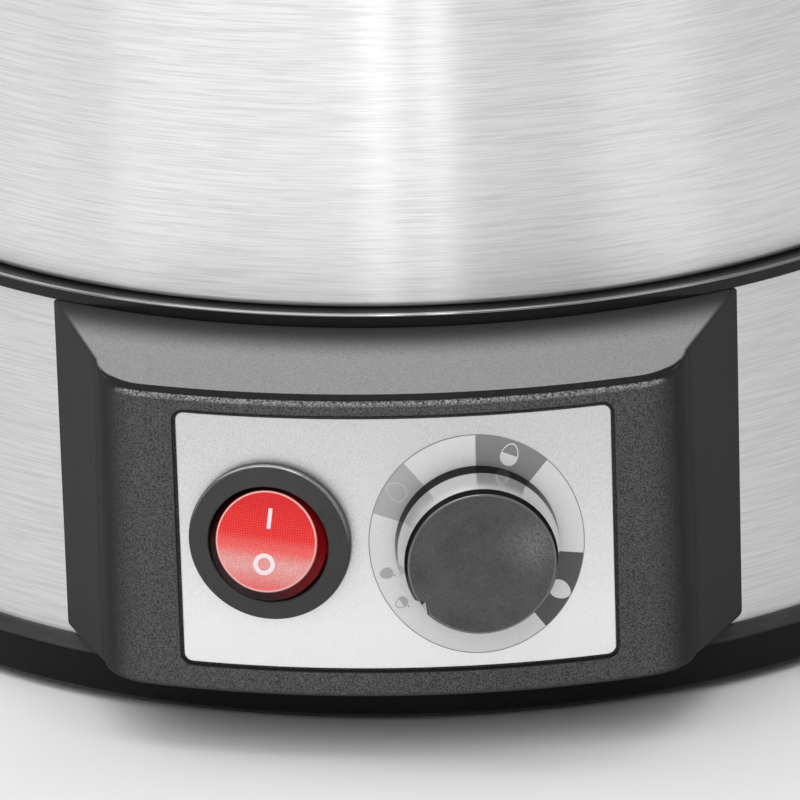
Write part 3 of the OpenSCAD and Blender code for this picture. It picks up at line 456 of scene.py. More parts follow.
POLISHED = (
    ("plated_steel", (0.62, 0.62, 0.63), 0.3),
    ("bowl_steel", (0.66, 0.66, 0.67), 0.22, 1.0, 8.0),
    ("cast_aluminium", (0.52, 0.52, 0.53), 0.5, 1.0, 2.0),
    ("element_sheath", (0.20, 0.17, 0.15), 0.45, 0.9, 5.0),
    ("terminal_brass", (0.70, 0.52, 0.22), 0.28),
    ("pot_case", (0.30, 0.31, 0.30), 0.4, 0.8),
    ("tray_steel", (0.70, 0.70, 0.71), 0.24, 1.0, 6.0),
)
for kind, rows in ((brushed, BRUSHED), (moulded, MOULDED), (polished, POLISHED)):
    for row in rows:
        kind(*row)
polished("gloss_black", (0.006, 0.006, 0.006), 0.1, 0.0, 4.0, 0.03, Specular_IOR_Level=0.3)
polished("lamp_glass", (0.9, 0.5, 0.3), 0.1, 0.0, 2.0, Transmission_Weight=0.7)

# ---- lid
HEM, HEM_H, EYELET_R, VENT_R, VENT_RING = 2.0, 3.0, 4.4, 2.5, 50.0
BARREL = 2.4  # how late the wall bends in towards its top
WALL_STEPS = 20


def shoulder_arc(radius, angles):
    return [(SHOULDER_X + radius * cos(radians(a)), LID_WALL_TOP + radius * sin(radians(a))) for a in angles]


shoulder = shoulder_arc(SHOULDER_R, range(3, int(SHOULDER_END) + 1, 3))
inner_shoulder = shoulder_arc(SHOULDER_R - LID_SHEET, range(int(SHOULDER_END), -1, -3))
lid_wall = [(LID_R - (LID_R - SHOULDER_X - SHOULDER_R) * t ** BARREL, LEDGE_Z + (LID_WALL_TOP - LEDGE_Z) * t)
            for t in [k / WALL_STEPS for k in range(2, WALL_STEPS + 1)]]
lid = spun(
    "lid_shell", [(LID_R - HEM, LEDGE_Z, 0.4), (LID_R, LEDGE_Z, 1.0)] + lid_wall + shoulder
    + [(SEAT_R, LID_TOP, 5.0), (0, LID_TOP), (0, LID_TOP - LID_SHEET), (SEAT_R, LID_TOP - LID_SHEET, 5.0)]
    + inner_shoulder + [(LID_R - LID_SHEET, LEDGE_Z + HEM_H + 0.8, 0.4), (LID_R - HEM, LEDGE_Z + HEM_H, 0.6)])
cut(lid, (rod(VENT_R, LID_TOP - 20, LID_TOP + 10), at(0, VENT_RING)))
dress(lid, "lid_steel", "lid", ["lid"], STEEL_EDGE)
SLANT = 90 - SHOULDER_END  # of the lid's top at the steam hole
EYELET_HIGH, EYELET_LOW, EYELET_END = 0.55, -0.2, -1.4
vent_z = LID_TOP - (VENT_RING - SEAT_R) * tan(radians(SLANT))
eyelet = spun("vent_eyelet", [
    (VENT_R - 0.5, EYELET_END), (VENT_R - 0.5, EYELET_HIGH, 0.4), (EYELET_R, EYELET_HIGH, 0.35), (EYELET_R, EYELET_LOW),
    (VENT_R - 0.02, EYELET_LOW), (VENT_R - 0.02, EYELET_END)], at(0, VENT_RING, vent_z) @ about("X", -SLANT), 96)
dress(eyelet, "plated_steel", "lid", slot="lid_steel")

HANDLE_L, HANDLE_H, HANDLE_W, HANDLE_BAR, HANDLE_PITCH, HANDLE_LEG = 78.0, 28.0, 20.0, 11.0, 60.0, 7.5
HANDLE_ROUND, HANDLE_SCREW_R, HANDLE_SCREW_H = 3.2, 1.95, 13.0
ARCH_WIDE, ARCH_TALL = 0.55, 0.75  # powers that square the arch


def arch(half, rise, steps=48):
    """A squared arch from its right foot to its left one."""
    points = []
    for k in range(steps + 1):
        c, s = cos(pi * k / steps), abs(sin(pi * k / steps))
        points.append((half * (1 if c > 0 else -1) * abs(c) ** ARCH_WIDE, rise * s ** ARCH_TALL))
    return points


outer = arch(HANDLE_L / 2, HANDLE_H)
inner = arch(HANDLE_PITCH / 2 - HANDLE_LEG, HANDLE_H - HANDLE_BAR)
ring = outer + inner[::-1]
count = len(ring)
handle_shape = ([(x, y, z) for y in (-HANDLE_W / 2, HANDLE_W / 2) for x, z in ring],
                [[i, (i + 1) % count, count + (i + 1) % count, count + i] for i in range(count)])
half_count = len(outer)
for side in (0, count):
    handle_shape[1].extend([[side + i, side + i + 1, side + count - 2 - i, side + count - 1 - i]
                            for i in range(half_count - 1)])
handle = new_object("handle_arch", handle_shape, at(0, 0, LID_TOP))
bevel(handle, HANDLE_ROUND, 50, 6)
cut(handle, *[(rod(HANDLE_SCREW_R, -1, HANDLE_SCREW_H), at(side * HANDLE_PITCH / 2, 0, LID_TOP)) for side in (-1, 1)])
dress(handle, "grip_plastic", "lid", ["lid_handle"], 40)

# ---- housing
RIM_ROUND, RIM_IN, RECESS_R, SKIRT_R, SKIRT_IN = 0.35, 73.5, 80.5, 87.2, 85.2
SHELF_Z, RECESS_Z, SKIRT_Z, POST_R, POST_Z = 56.6, 58.6, 50.0, 3.8, 20.0
rim = spun("rim_trim", [
    (RIM_IN, SHELF_Z), (RIM_IN, RECESS_Z, 0.3), (RECESS_R, RECESS_Z, 0.2), (RECESS_R, LEDGE_Z, 0.4),
    (RIM_R, LEDGE_Z, RIM_ROUND), (RIM_R, BAND_TOP, 0.15), (SKIRT_R, BAND_TOP), (SKIRT_R, SKIRT_Z, 0.3),
    (SKIRT_IN, SKIRT_Z, 0.3), (SKIRT_IN, SHELF_Z, 0.4)])
weld(rim, *[(rod(POST_R, POST_Z, SHELF_Z + 0.4, 48), around(a, POST_RING)) for a in POSTS])
dress(rim, "gloss_black", "base", ["rim_ring"])
# a bright line of light along the ring's corner
n, s = nodes_of("gloss_black")
r, z = from_axis(n)
corner = n.times(n.above(r, RIM_R - RIM_ROUND), n.above(z, LEDGE_Z - RIM_ROUND))
n.put(s, Base_Color=n.mix(corner, so_far(s, "Base Color"), 0.30), Metallic=corner)

band = new_object("housing_sheet", lathe(
    [(band_at(BAND_Z) - BAND_SHEET, BAND_Z), (band_at(BAND_Z), BAND_Z), (band_at(BAND_TOP), BAND_TOP),
     (band_at(BAND_TOP) - BAND_SHEET, BAND_TOP)]), PLACED)
WINDOW_BAR, WINDOW_HALF, WINDOW_Z = 2.0, 22.0, (17.0, 49.0)  # two windows behind the console, and the bar between
INLET_R, INLET_Z = 6.0, 28.0
near, far = 0.7 * BAND_R, 1.3 * BAND_R
windows = []
for side in (-1, 1):
    across, ahead = side * sin(radians(WINDOW_HALF)), cos(radians(WINDOW_HALF))
    plan = [(side * WINDOW_BAR, -near), (side * WINDOW_BAR, -far), (far * across, -far * ahead),
            (near * across, -near * ahead)]
    sides = [[i, (i + 1) % 4, 4 + (i + 1) % 4, 4 + i] for i in range(4)]
    windows.append((([(x, y, z) for z in WINDOW_Z for x, y in plan], [[0, 1, 2, 3], [7, 6, 5, 4]] + sides), PLACED))
cut(band, *windows, (rod(INLET_R, -6, 6), at(0, BAND_R, INLET_Z) @ about("X", 90)))
dress(band, "band_steel", "base", ["housing_band"], STEEL_EDGE)

FEET, FOOT_RING = (45, 135, 225, 315), 74.0
STANDOFFS = [at(x, y) for x in (-30, 30) for y in (-58, -20)]
PAN_WALL, PAN_Z, PAN_FLOOR, PAN_BEVEL_R, PAN_BEVEL_Z = 2.2, 3.0, 5.5, 90.204, 7.0
SPIGOT_R, SPIGOT_IN, SPIGOT_TOP = 88.4, 86.2, 16.0
PILLAR_R, PILLAR_TOP, STANDOFF_R, STANDOFF_TOP = 4.4, 20.0, 3.0, 12.0
SCREW_R, HEAD_R, HEAD_Z, PLUG_R, PILOT_R = 1.55, 3.2, 9.0, 2.55, 1.25
pan = spun("base_ring", [
    (0, PAN_Z), (BASE_R - PAN_WALL, PAN_Z, 0.3), (BASE_R - PAN_WALL, RING_Z, 0.3), (BASE_R, RING_Z, 0.4),
    (BASE_R, PAN_BEVEL_Z, 0.5), (PAN_BEVEL_R, BAND_Z, 0.3), (SPIGOT_R, BAND_Z), (SPIGOT_R, SPIGOT_TOP, 0.4),
    (SPIGOT_IN, SPIGOT_TOP, 0.3), (SPIGOT_IN, PAN_FLOOR, 0.6), (0, PAN_FLOOR)])
weld(pan, *[(rod(PILLAR_R, 4.0, PILLAR_TOP), around(a, POST_RING)) for a in POSTS],
     *[(rod(STANDOFF_R, 4.0, STANDOFF_TOP), place) for place in STANDOFFS])
cut(pan, *[(rod(radius, 0, top), around(a, POST_RING)) for radius, top in ((SCREW_R, PILLAR_TOP + 1), (HEAD_R, HEAD_Z))
           for a in POSTS],
    *[(rod(PLUG_R, 0, PAN_FLOOR + 1), around(a, FOOT_RING)) for a in FEET],
    *[(rod(PILOT_R, PAN_FLOOR, STANDOFF_TOP + 1), place) for place in STANDOFFS])
dress(pan, "base_plastic", "base", ["base_pan"])


def painted_edge_highlights(n):
    """Painted highlights: the ring's sloped shoulder and a line along its lower edge are painted a paler grey. They
    stand in for light from above on the shoulder and for a reflection of the floor on the lower edge.
    """
    r, z = from_axis(n)
    bands = n.ramp(n.over(z, 10.0), [(0.13, 0.0), (0.145, 0.7), (0.165, 0.7), (0.18, 0.0), (0.70, 0.0), (0.73, 1.0)])
    return n.times(bands, n.above(r, BAND_R + 0.1), n.plus(n.noise(turned(n, 12.0, 3000.0), 1.0, 2.0), 0.3))


overlay("base_plastic", painted_edge_highlights, 0.052)

FOOT_R, HOLLOW_R, HOLLOW_H, NECK_R, BARB_R, BARB_TOP = 7.0, 3.2, 0.35, 2.5, 3.4, 6.5
foot = lathe(rounded(
    [(0, HOLLOW_H), (HOLLOW_R, HOLLOW_H, 0.2), (HOLLOW_R + 0.6, 0, 0.2), (FOOT_R, 0, 0.7), (FOOT_R, PAN_Z, 0.2),
     (NECK_R, PAN_Z), (NECK_R, PAN_FLOOR), (BARB_R, PAN_FLOOR, 0.2), (BARB_R, BARB_TOP, 0.3), (0, BARB_TOP)]), 96)
feet = new_object("foot_pads", joined(*[moved(foot, around(a, FOOT_RING)) for a in FEET]))
dress(feet, "foot_rubber", "base", ["rubber_feet"])

# ---- console
FLANK_IN = Vector((-cos(radians(FLANK)), sin(radians(FLANK))))
FLANK_OUT = Vector((-sin(radians(FLANK)), -cos(radians(FLANK))))
ROOT = Vector((BAND_R * sin(radians(CONSOLE_HALF)), -BAND_R * cos(radians(CONSOLE_HALF))))
CREASE = ROOT + CREASE_RUN * FLANK_OUT
CORNER = CREASE - CORNER_R * Vector((cos(radians(CREASE_FACE)), -sin(radians(CREASE_FACE))))
CORNER_END = atan2(CORNER.y, CORNER.x)
FLANK_STEPS, CORNER_STEPS, FRONT_STEPS = 8, 14, 44
NEAR_CREASE = 0.15  # rows this close on both sides keep the crease sharp
DRAFT_FOOT, DRAFT_TOP, DRAFT_POWER = 0.0035, 0.0165, 2.2
STEP_IN, STEP_H, EDGE, SIDE_EDGE, FOOT_EDGE = 0.6, 1.1, 0.5, 0.6, 1.2
CURL_R, CURL_H, FOOT_Z, FOOT_FALL = 91.4, 0.46, 10.25, 1.05
CURL_ROWS = [90.9, 90.3, 89.7, 89.2, RIM_R, 88.2, 84.0]
# the top edge's profile, as (inset, drop below the sloped top): at the front it steps in, at the flanks it is rounded
STEP = [(0, STEP_H + EDGE), (0.146, STEP_H + 0.146), (EDGE, STEP_H), (STEP_IN, STEP_H - 0.02), (STEP_IN, 0.14),
        (STEP_IN + 0.05, 0.04), (STEP_IN + 0.16, 0)]
QUARTER = [(cos(radians(15 * k)), sin(radians(15 * k))) for k in range(7)]
ROUND = [(SIDE_EDGE * (1 - c), SIDE_EDGE * (1 - s)) for c, s in QUARTER]


def half_plan(inset, back):
    """One half of the console's outline, with how far along it each point is: 0 flank, 1 front."""
    radius = CORNER_R - inset
    from_corner = ROOT + inset * FLANK_IN - CORNER
    along = from_corner.dot(FLANK_OUT)
    run = -along - sqrt(along ** 2 - from_corner.length_squared + radius ** 2)
    points = [(ROOT + inset * FLANK_IN + (back + (run - NEAR_CREASE - back) * k / FLANK_STEPS) * FLANK_OUT, 0.0)
              for k in range(FLANK_STEPS + 1)]
    crease = from_corner + run * FLANK_OUT
    start = atan2(crease.y, crease.x)
    for k in [0, NEAR_CREASE] + list(range(1, CORNER_STEPS + 1)):
        a = start + (CORNER_END - start) * k / CORNER_STEPS
        points.append((CORNER + radius * Vector((cos(a), sin(a))), k / CORNER_STEPS))
    for k in range(1, FRONT_STEPS + 1):
        a = CORNER_END - (pi / 2 + CORNER_END) * k / FRONT_STEPS
        points.append(((FRONT_R - inset) * Vector((cos(a), sin(a))), 1.0))
    return points


def limited(value):
    return min(max(value, 0), 1)


def console_z_at(r):
    """The console's sloped top, which curls up where it meets the rim ring."""
    curl = limited((CURL_R - r) / (CURL_R - RIM_R))
    return CONSOLE_TOP - SLOPE * max(r - BAND_R, 0) + CURL_H * curl * curl


def foot_z_at(r):
    """The console's lower edge."""
    return FOOT_Z - FOOT_FALL * limited((FRONT_R - r) / (FRONT_R - BAND_R))


def draft(x, y, z):
    """The console narrows towards its top: a point turns about the axis and keeps its radius."""
    rise = limited((z - CONSOLE_Z) / (CONSOLE_TOP - CONSOLE_Z))
    a = atan2(x, -y) * (1 - DRAFT_FOOT - DRAFT_TOP * rise ** DRAFT_POWER)
    r = hypot(x, y)
    return (r * sin(a), -r * cos(a), z)


def console_shape(inset, back, behind, edges=True):
    """The console's closed solid, of columns round its outline: each goes from its foot over its top and back.

    The flanks start at back, measured along them from the root, and behind is the inner side's radius."""
    columns, plans = [], {}

    def plan(depth):
        key = round(depth, 4)
        if key not in plans:
            half = half_plan(key, back)
            plans[key] = half + [(Vector((-p.x, p.y)), w) for p, w in half[-2::-1]]
        return plans[key]

    for i, (edge_point, along) in enumerate(plan(inset)):
        blend = limited((along - 0.15) / 0.6)
        blend = blend * blend * (3 - 2 * blend)
        column = []
        if edges:
            for k in range(5):
                a = radians(22.5 * k)
                here = plan(inset + FOOT_EDGE * (1 - sin(a)))[i][0]
                column.append((here.x, here.y, foot_z_at(here.length) + FOOT_EDGE * (1 - cos(a))))
            for (in_a, drop_a), (in_b, drop_b) in zip(ROUND, STEP):
                here = plan(inset + in_a + (in_b - in_a) * blend)[i][0]
                column.append((here.x, here.y, console_z_at(here.length) - drop_a - (drop_b - drop_a) * blend))
        else:
            column += [(edge_point.x, edge_point.y, CONSOLE_Z + inset),
                       (edge_point.x, edge_point.y, console_z_at(edge_point.length) - inset)]
        x, y, z = column[-1]
        last = far = hypot(x, y)
        for r in [far + (CURL_R - far) * k / 3 for k in (1, 2, 3)] + CURL_ROWS + [behind]:
            last = min(r, last - 0.02)
            column.append((x / far * last, y / far * last, console_z_at(last) - inset))
        x, y, z = column[0]
        far = hypot(x, y)
        for r in (behind, max(min(far - 0.02, BAND_R), behind + 0.02)):
            column.append((x / far * r, y / far * r, foot_z_at(r) if edges else CONSOLE_Z + inset))
        columns.append([draft(*point) for point in column])
    verts = [p for column in columns for p in column]
    rows = len(columns[0])
    faces = [[c * rows + k, c * rows + (k + 1) % rows, (c + 1) * rows + (k + 1) % rows, (c + 1) * rows + k]
             for c in range(len(columns) - 1) for k in range(rows)]
    return verts, faces + [list(range(rows)), list(range(len(verts) - rows, len(verts)))]


def plate_half(width, height, corner, steps=8, across=60):
    """The upper half of a rounded rectangle, from right to left."""
    flat = width / 2 - corner
    points = [(flat + corner * cos(a), height / 2 - corner + corner * sin(a))
              for a in [radians(90 * k / steps) for k in range(steps + 1)]]
    points += [(flat - 2 * flat * k / across, height / 2) for k in range(1, across)]
    return points + [(-x, z) for x, z in points[steps::-1]]


def label_solid(layers):
    """A closed solid of the label's outline, on the console's curve: layers of (radius, growth)."""
    verts, faces, loops = [], [], []
    for r, grow in layers:
        half = plate_half(LABEL_W + 2 * grow, LABEL_H + 2 * grow, LABEL_CORNER + grow)
        top = list(range(len(verts), len(verts) + len(half)))
        verts += [(x, -sqrt(r * r - x * x), LABEL_MID + z) for x, z in half]
        bottom = list(range(len(verts), len(verts) + len(half)))
        verts += [(x, -sqrt(r * r - x * x), LABEL_MID - z) for x, z in half]
        loops.append((top, bottom))
    for (top_a, bottom_a), (top_b, bottom_b) in zip(loops, loops[1:]):
        for a, b in ((top_a, top_b), (bottom_a, bottom_b)):
            faces += [[a[i], a[i + 1], b[i + 1], b[i]] for i in range(len(a) - 1)]
        for i in (0, -1):
            faces.append([top_a[i], bottom_a[i], bottom_b[i], top_b[i]])
    for top, bottom in (loops[0], loops[-1]):
        faces += [[top[i], top[i + 1], bottom[i + 1], bottom[i]] for i in range(len(top) - 1)]
    return verts, faces


band_cone = lathe([(0, 0), (band_at(0) + 0.1, 0), (band_at(70) + 0.1, 70), (0, 70)], SEGMENTS, False)
console = new_object("console_shell", console_shape(0.0, back=-6.0, behind=80.0), PLACED)
cut(console, (console_shape(WALL, back=-8.0, behind=76.0, edges=False), PLACED))
cut(console, (band_cone, PLACED))
RIM_EDGE = 0.2  # the groove's rounded edge
LABEL_PLACE = PLACED @ Matrix.Rotation(LABEL_OFF / LABEL_R, 4, "Z")
flare = [(FRONT_R - RIM_EDGE + RIM_EDGE * s, LABEL_GROOVE + RIM_EDGE * (1 - c)) for c, s in QUARTER]
cut(console, (label_solid([(LABEL_R - LABEL_T, LABEL_GROOVE)] + flare + [(FRONT_R + 2, LABEL_GROOVE + RIM_EDGE)]),
              LABEL_PLACE))
SWITCH = panel(SWITCH_PHI, PANEL_R, CONTROL_Z, SWITCH_TURN) @ shift(*SWITCH_OFF)
KNOB = panel(KNOB_PHI, PANEL_R, CONTROL_Z)
switch_hole = (rod(SWITCH_CUT_R, -8, 4, 96), SWITCH)
bushing_hole = (rod(BUSHING_CUT_R, -8, 4, 96), KNOB)
cut(console, switch_hole, bushing_hole)
dress(console, "console_plastic", "base", ["control_console"], 30)


def drop_of(n, r, z):
    """Half of how far a point lies below the console's sloped top, in millimetres."""
    return n.times(n.minus(n.minus(CONSOLE_TOP, n.times(n.minus(r, BAND_R), SLOPE)), z), 0.5)


def facing(n):
    return n.axes(n("ShaderNodeNewGeometry").outputs["Normal"])


def grain_of(n, scale=3800.0):
    return n.noise(place_of(n), scale, 2.0, 0.6)


def painted_top_light(n):
    """Painted light: the console's up-facing top is painted paler towards its front edge, standing in for light from
    above, and stays dark next to the rim ring, where shade falls.
    """
    r, z = from_axis(n)
    outward = n.ramp(n.over(n.minus(r, 89.0), FRONT_R - 89.0), [(0.02, 0.0), (0.45, 1.0)], "EASE")
    upward = n.ramp(facing(n)[2], [(0.55, 0.0), (0.9, 1.0)])
    high = n.ramp(drop_of(n, r, z), [(0.2, 1.0), (0.35, 0.0)])
    return n.times(upward, high, outward, n.plus(grain_of(n), 0.35))


def painted_flank_light(n):
    """Painted light: the flat flanks behind the crease are painted a little paler than the rounded corner, standing in
    for how differently light falls on them.
    """
    r, z = from_axis(n)
    return n.times(n.ramp(n.over(r, CREASE.length), [(0.985, 1.0), (1.0, 0.0)]), n.plus(grain_of(n), 0.5))


def front_grain_and_glints(n):
    """The eroded grain of the front grows from the corners to the plate; its pale specks are also painted glints,
    stronger where the face turns to the front.
    """
    r, z = from_axis(n)
    ahead = n.ramp(n.times(facing(n)[1], -1.0), [(0.5, 0.0), (0.985, 1.0)], "EASE")
    below = n.ramp(drop_of(n, r, z), [(0.55, 0.0), (0.75, 1.0)])
    return n.times(ahead, below, n.ramp(grain_of(n, 4200.0), [(0.36, 0.1), (0.66, 1.0)]))


def painted_ledge_highlight(n):
    """Painted highlight: the ledge of the front's step is painted bright in places, standing in for light caught on it
    from above.
    """
    r, z = from_axis(n)
    along = n.ramp(drop_of(n, r, z), [(0.50, 0.0), (0.56, 1.0), (0.66, 0.9), (0.84, 0.0)])
    out = n.ramp(n.minus(r, FRONT_R - 1.0), [(0.0, 0.0), (0.45, 1.0)])
    return n.times(along, out, n.ramp(n.noise(place_of(n), 3400.0, 3.0, 0.7), [(0.40, 0.0), (0.62, 1.0)]))


overlay("console_plastic", painted_flank_light, 0.028)
overlay("console_plastic", front_grain_and_glints, 0.115)
overlay("console_plastic", painted_top_light, 0.31)
overlay("console_plastic", painted_ledge_highlight, 0.40)

LABEL_EDGE, LABEL_ARC = 0.12, 0.035  # the plate's rounded edge and the middle of its arc
plate = new_object("label_face", label_solid(
    [(LABEL_R - LABEL_T, 0), (LABEL_R - LABEL_EDGE, 0), (LABEL_R - LABEL_ARC, -LABEL_ARC), (LABEL_R, -LABEL_EDGE)]),
    LABEL_PLACE)
cut(plate, switch_hole, bushing_hole)
n, s = material("label_aluminium", (0.92, 0.92, 0.925), 0.42, 0.8)
grain = n.noise(place_of(n), 5200.0, 3.0, 0.65)
# painted shade: the plate is painted darker towards its top, where its grey pits also show more
upper = n.ramp(n.over(n.axes(in_mm(n))[2], 60.0), [(0.35, 0.0), (0.85, 1.0)])
pale = n.mix(upper, (0.96, 0.96, 0.962), (0.76, 0.76, 0.765))
pits = n.times(n.ramp(grain, [(0.36, 1.0), (0.6, 0.0)]), n.plus(n.times(upper, 0.8), 0.2))
n.put(s, Base_Color=n.mix(pits, pale, (0.60, 0.60, 0.605)), Roughness=n.plus(n.times(grain, 0.25), 0.32),
      Normal=n.bump(grain, 0.3, 0.012))
dress(plate, "label_aluminium", "base", ["label_plate"])

# ---- printed dial
DIAL_R, DIAL_IN, DIAL_TALL, DIAL_TURN, DIAL_LEAN = 15.15, 7.0, 1.077, 1.84, -0.024
TONES = {"pale": 0.75, "trace": 0.56, "light": 0.43, "mid": 0.24, "dark": 0.085}
for tone, value in TONES.items():
    n, s = material("ink_" + tone)
    speck = n.noise(place_of(n), 6000.0, 2.0)
    n.put(s, Base_Color=n.ramp(speck, [(0.3, value * 0.93), (0.7, min(value * 1.05, 1.0))]),
          Normal=n.bump(speck, 0.15, 0.01))


def on_plate(u, v, lift):
    """A point of the print: across and up from the knob's middle, and proud of the plate."""
    r, a = LABEL_R + lift, radians(KNOB_PHI) + (u + DIAL_OFF[0]) / LABEL_R
    return (r * sin(a), AXIS_Y - r * cos(a), CONTROL_Z + DIAL_OFF[1] + v)


def dial(rho, clock, lift):
    """The same by distance and clock angle. The print is a little taller than wide."""
    a = radians(clock + DIAL_TURN)
    u = rho * sin(a)
    return on_plate(u, DIAL_TALL * rho * cos(a) + DIAL_LEAN * u, lift)


def printed(name, rows, tone):
    dress(new_object(name, sheet_of(rows)), "ink_" + tone, "base", slot="label_aluminium")


def sector(name, start, end, r_in, r_out, lift, tone):
    steps = max(int(abs(end - start) / 2), 2)
    printed(name, [[dial(r_in + (r_out - r_in) * j / 6, start + (end - start) * k / steps, lift) for j in range(7)]
                   for k in range(steps + 1)], tone)


# each layer of ink lies a little above the one before
LIFT_RING, LIFT_SECTOR, LIFT_LINE, LIFT_FILL, LIFT_OUTLINE = 0.02, 0.035, 0.045, 0.055, 0.065
sector("dial_ring", -180, 180, DIAL_IN, DIAL_R, LIFT_RING, "pale")
sector("dial_line", -180, 180, DIAL_R - 0.12, DIAL_R, LIFT_LINE, "mid")
for name, start, end, tone in (("dial_soft", -74.8, -43.0, "light"), ("dial_medium", -1.3, 40.3, "mid"),
                               ("dial_hard", 96.0, 140, "dark")):
    sector(name, start, end, DIAL_IN, DIAL_R - 0.05, LIFT_SECTOR, tone)


def egg_edge(t, long, wide, scale=1.0):
    """An egg's outline: long axis along +y, its small end at the top."""
    return scale * wide / 2 * cos(t) * (1 - 0.16 * sin(t)), scale * long / 2 * sin(t)


def egg(name, rho, clock, long, wide, fill, line, line_w, split=None):
    """A printed egg, filled whole or up to a split, with its outline."""
    a = radians(clock)
    centre_u, centre_v = rho * sin(a), rho * cos(a)

    def put(x, y, lift):
        # the egg's long axis points away from the dial's middle
        u, v = centre_u + x * cos(a) + y * sin(a), centre_v - x * sin(a) + y * cos(a)
        return dial(hypot(u, v), degrees(atan2(u, v)), lift)

    edge = [egg_edge(pi / 36 * k, long, wide) for k in range(-18, 19)]
    printed(name + "_fill", [[put(x * j / 2, y, LIFT_FILL) for j in (-2, -1, 0, 1, 2)]
                             for x, y in edge if split is None or y <= split], fill)
    thin = 1 - 2 * line_w / wide
    printed(name + "_line", [[put(*egg_edge(2 * pi * k / 48, long, wide, scale), LIFT_OUTLINE) for scale in (1, thin)]
                             for k in range(49)], line)


EGG, SMALL_EGG, DOT = (3.2, 2.5), (1.9, 1.5), (0.22, 0.22)
egg("egg_medium", 13.11, 19.9, *EGG, "pale", "pale", 0.15, 0.0)
egg("egg_soft", 13.28, -57.9, *EGG, "light", "trace", 0.15)
egg("egg_hard", 13.39, 119.2, *EGG, "pale", "pale", 0.15)
egg("egg_keep", 13.38, -108.8, *SMALL_EGG, "light", "light", 0.12)
egg("egg_poach", 13.44, -128.2, *SMALL_EGG, "light", "light", 0.12, 0.0)
egg("dot_keep", 12.4, -111.6, *DOT, "mid", "mid", 0.05)
egg("dot_poach", 13.0, -132.5, *DOT, "mid", "mid", 0.05)

# ---- switch
BODY_R, BODY_Z, WELL_R, WELL_Z = 9.7, -15.0, 8.6, -9.0
BEZEL_R, BEZEL_EDGE, BEZEL_IN, BEZEL_TOP = 11.5, 1.3, 8.5, 2.1
SNAP_X = 10.1
bezel = spun("switch_bezel", [
    (0, BODY_Z), (BODY_R, BODY_Z, 0.5), (BODY_R, 0), (BEZEL_R, 0, 0.2), (BEZEL_R, BEZEL_EDGE, 0.3),
    (BEZEL_IN, BEZEL_TOP, 0.25), (BEZEL_IN, 0), (WELL_R, 0), (WELL_R, WELL_Z), (0, WELL_Z)], SWITCH, 160)
weld(bezel, *[(block((side * SNAP_X - 0.5, -2.5, -5.5), (side * SNAP_X + 0.5, 2.5, -3.5)), SWITCH) for side in (-1, 1)])
dress(bezel, "switch_plastic", "base", ["switch_frame"])

PIVOT_Z, ROCKER_LEAN = 0.4, -12
BALL_R, BALL_LOW, BALL_HIGH = 8.4, -4.0, -1.58
CAP_R, CAP_Z, FACE_R, FACE_Z, FACE_OFF = 8.25, 1.5, 7.02, 3.3, 0.38  # the face lies a little off the cap's middle
PIN_R, PIN_HALF = 1.0, 9.1
ROCKER = SWITCH @ shift(0, 0, PIVOT_Z) @ about("X", ROCKER_LEAN)
low, high = asin(BALL_LOW / BALL_R), asin(BALL_HIGH / BALL_R)
ball = [(BALL_R * cos(a), BALL_R * sin(a)) for a in [low + (high - low) * k / 5 for k in range(6)]]
cap = [(0, BALL_LOW), *ball, (CAP_R, CAP_Z, 0.3), (FACE_R, FACE_Z, 0.2), (0, FACE_Z)]
cap_verts, cap_faces = lathe(rounded(cap), 128)
cap_verts = [(x, y + FACE_OFF * max(z - CAP_Z, 0) / (FACE_Z - CAP_Z), z) for x, y, z in cap_verts]
rocker = new_object("rocker_cap", (cap_verts, cap_faces), ROCKER)
weld(rocker, (rod(PIN_R, -PIN_HALF, PIN_HALF, 32), ROCKER @ about("Y", 90)))


def local(n, place):
    """Coordinates of a piece in its own place, in millimetres."""
    point = in_mm(n)
    return [n.plus(n("ShaderNodeVectorMath", {"operation": "DOT_PRODUCT"}, i0=point, i1=tuple(row[:3])).outputs[1],
                   row[3]) for row in list(place.inverted())[:3]]


# painted highlight: the bezel's outer edge is made paler, glossier and metallic on its upper half, standing in for a
# line of light from above
n, s = nodes_of("switch_plastic")
x, y, z = local(n, SWITCH)
edge = n.times(n.above(n.length(x, y), BEZEL_R - 0.3), n.above(z, BEZEL_EDGE - 0.35),
               n.ramp(n.over(y, 12.0), [(0.1, 0.0), (0.6, 1.0)]))
n.put(s, Roughness=n.minus(so_far(s, "Roughness"), n.times(edge, 0.36)),
      Base_Color=n.mix(edge, so_far(s, "Base Color"), 0.30), Metallic=edge)

# clear red over a dotted underside; painted highlights make the face paler pink below its middle and give it a pale rim
# line, painted shade makes its walls dark red, lighter towards the right, and the whole cap glows faintly in these
# colours
DOT_PITCH = 0.35
n, s = material("rocker_red", rough=0.3, Specular_IOR_Level=0.1, Emission_Strength=0.08)
x, y, z = local(n, ROCKER)
wave_x, wave_y = [n.plus(n.math("SINE", n.times(axis, 2 * pi / DOT_PITCH)), 1.0) for axis in (x, y)]
dots = n.times(wave_x, wave_y, 0.25)
up_face = n.plus(n.times(y, 1 / 14.0), 0.5)
# painted highlight: paler pink below the face's middle
glow = n.ramp(up_face, [(0.0, srgb(220, 110, 110)), (0.28, srgb(222, 168, 163)), (0.47, srgb(232, 106, 102)),
                        (0.60, srgb(234, 68, 65)), (1.0, srgb(218, 54, 56))], "EASE")
glow = n.mix(n.ramp(n.noise(place_of(n), 3600.0, 3.0, 0.7), [(0.40, 0.30), (0.60, 0.0)]), glow, srgb(196, 44, 48))
shaded = n.mix(n.times(dots, n.ramp(up_face, [(0.42, 0.25), (0.62, 1.0)])), glow, srgb(180, 24, 28))
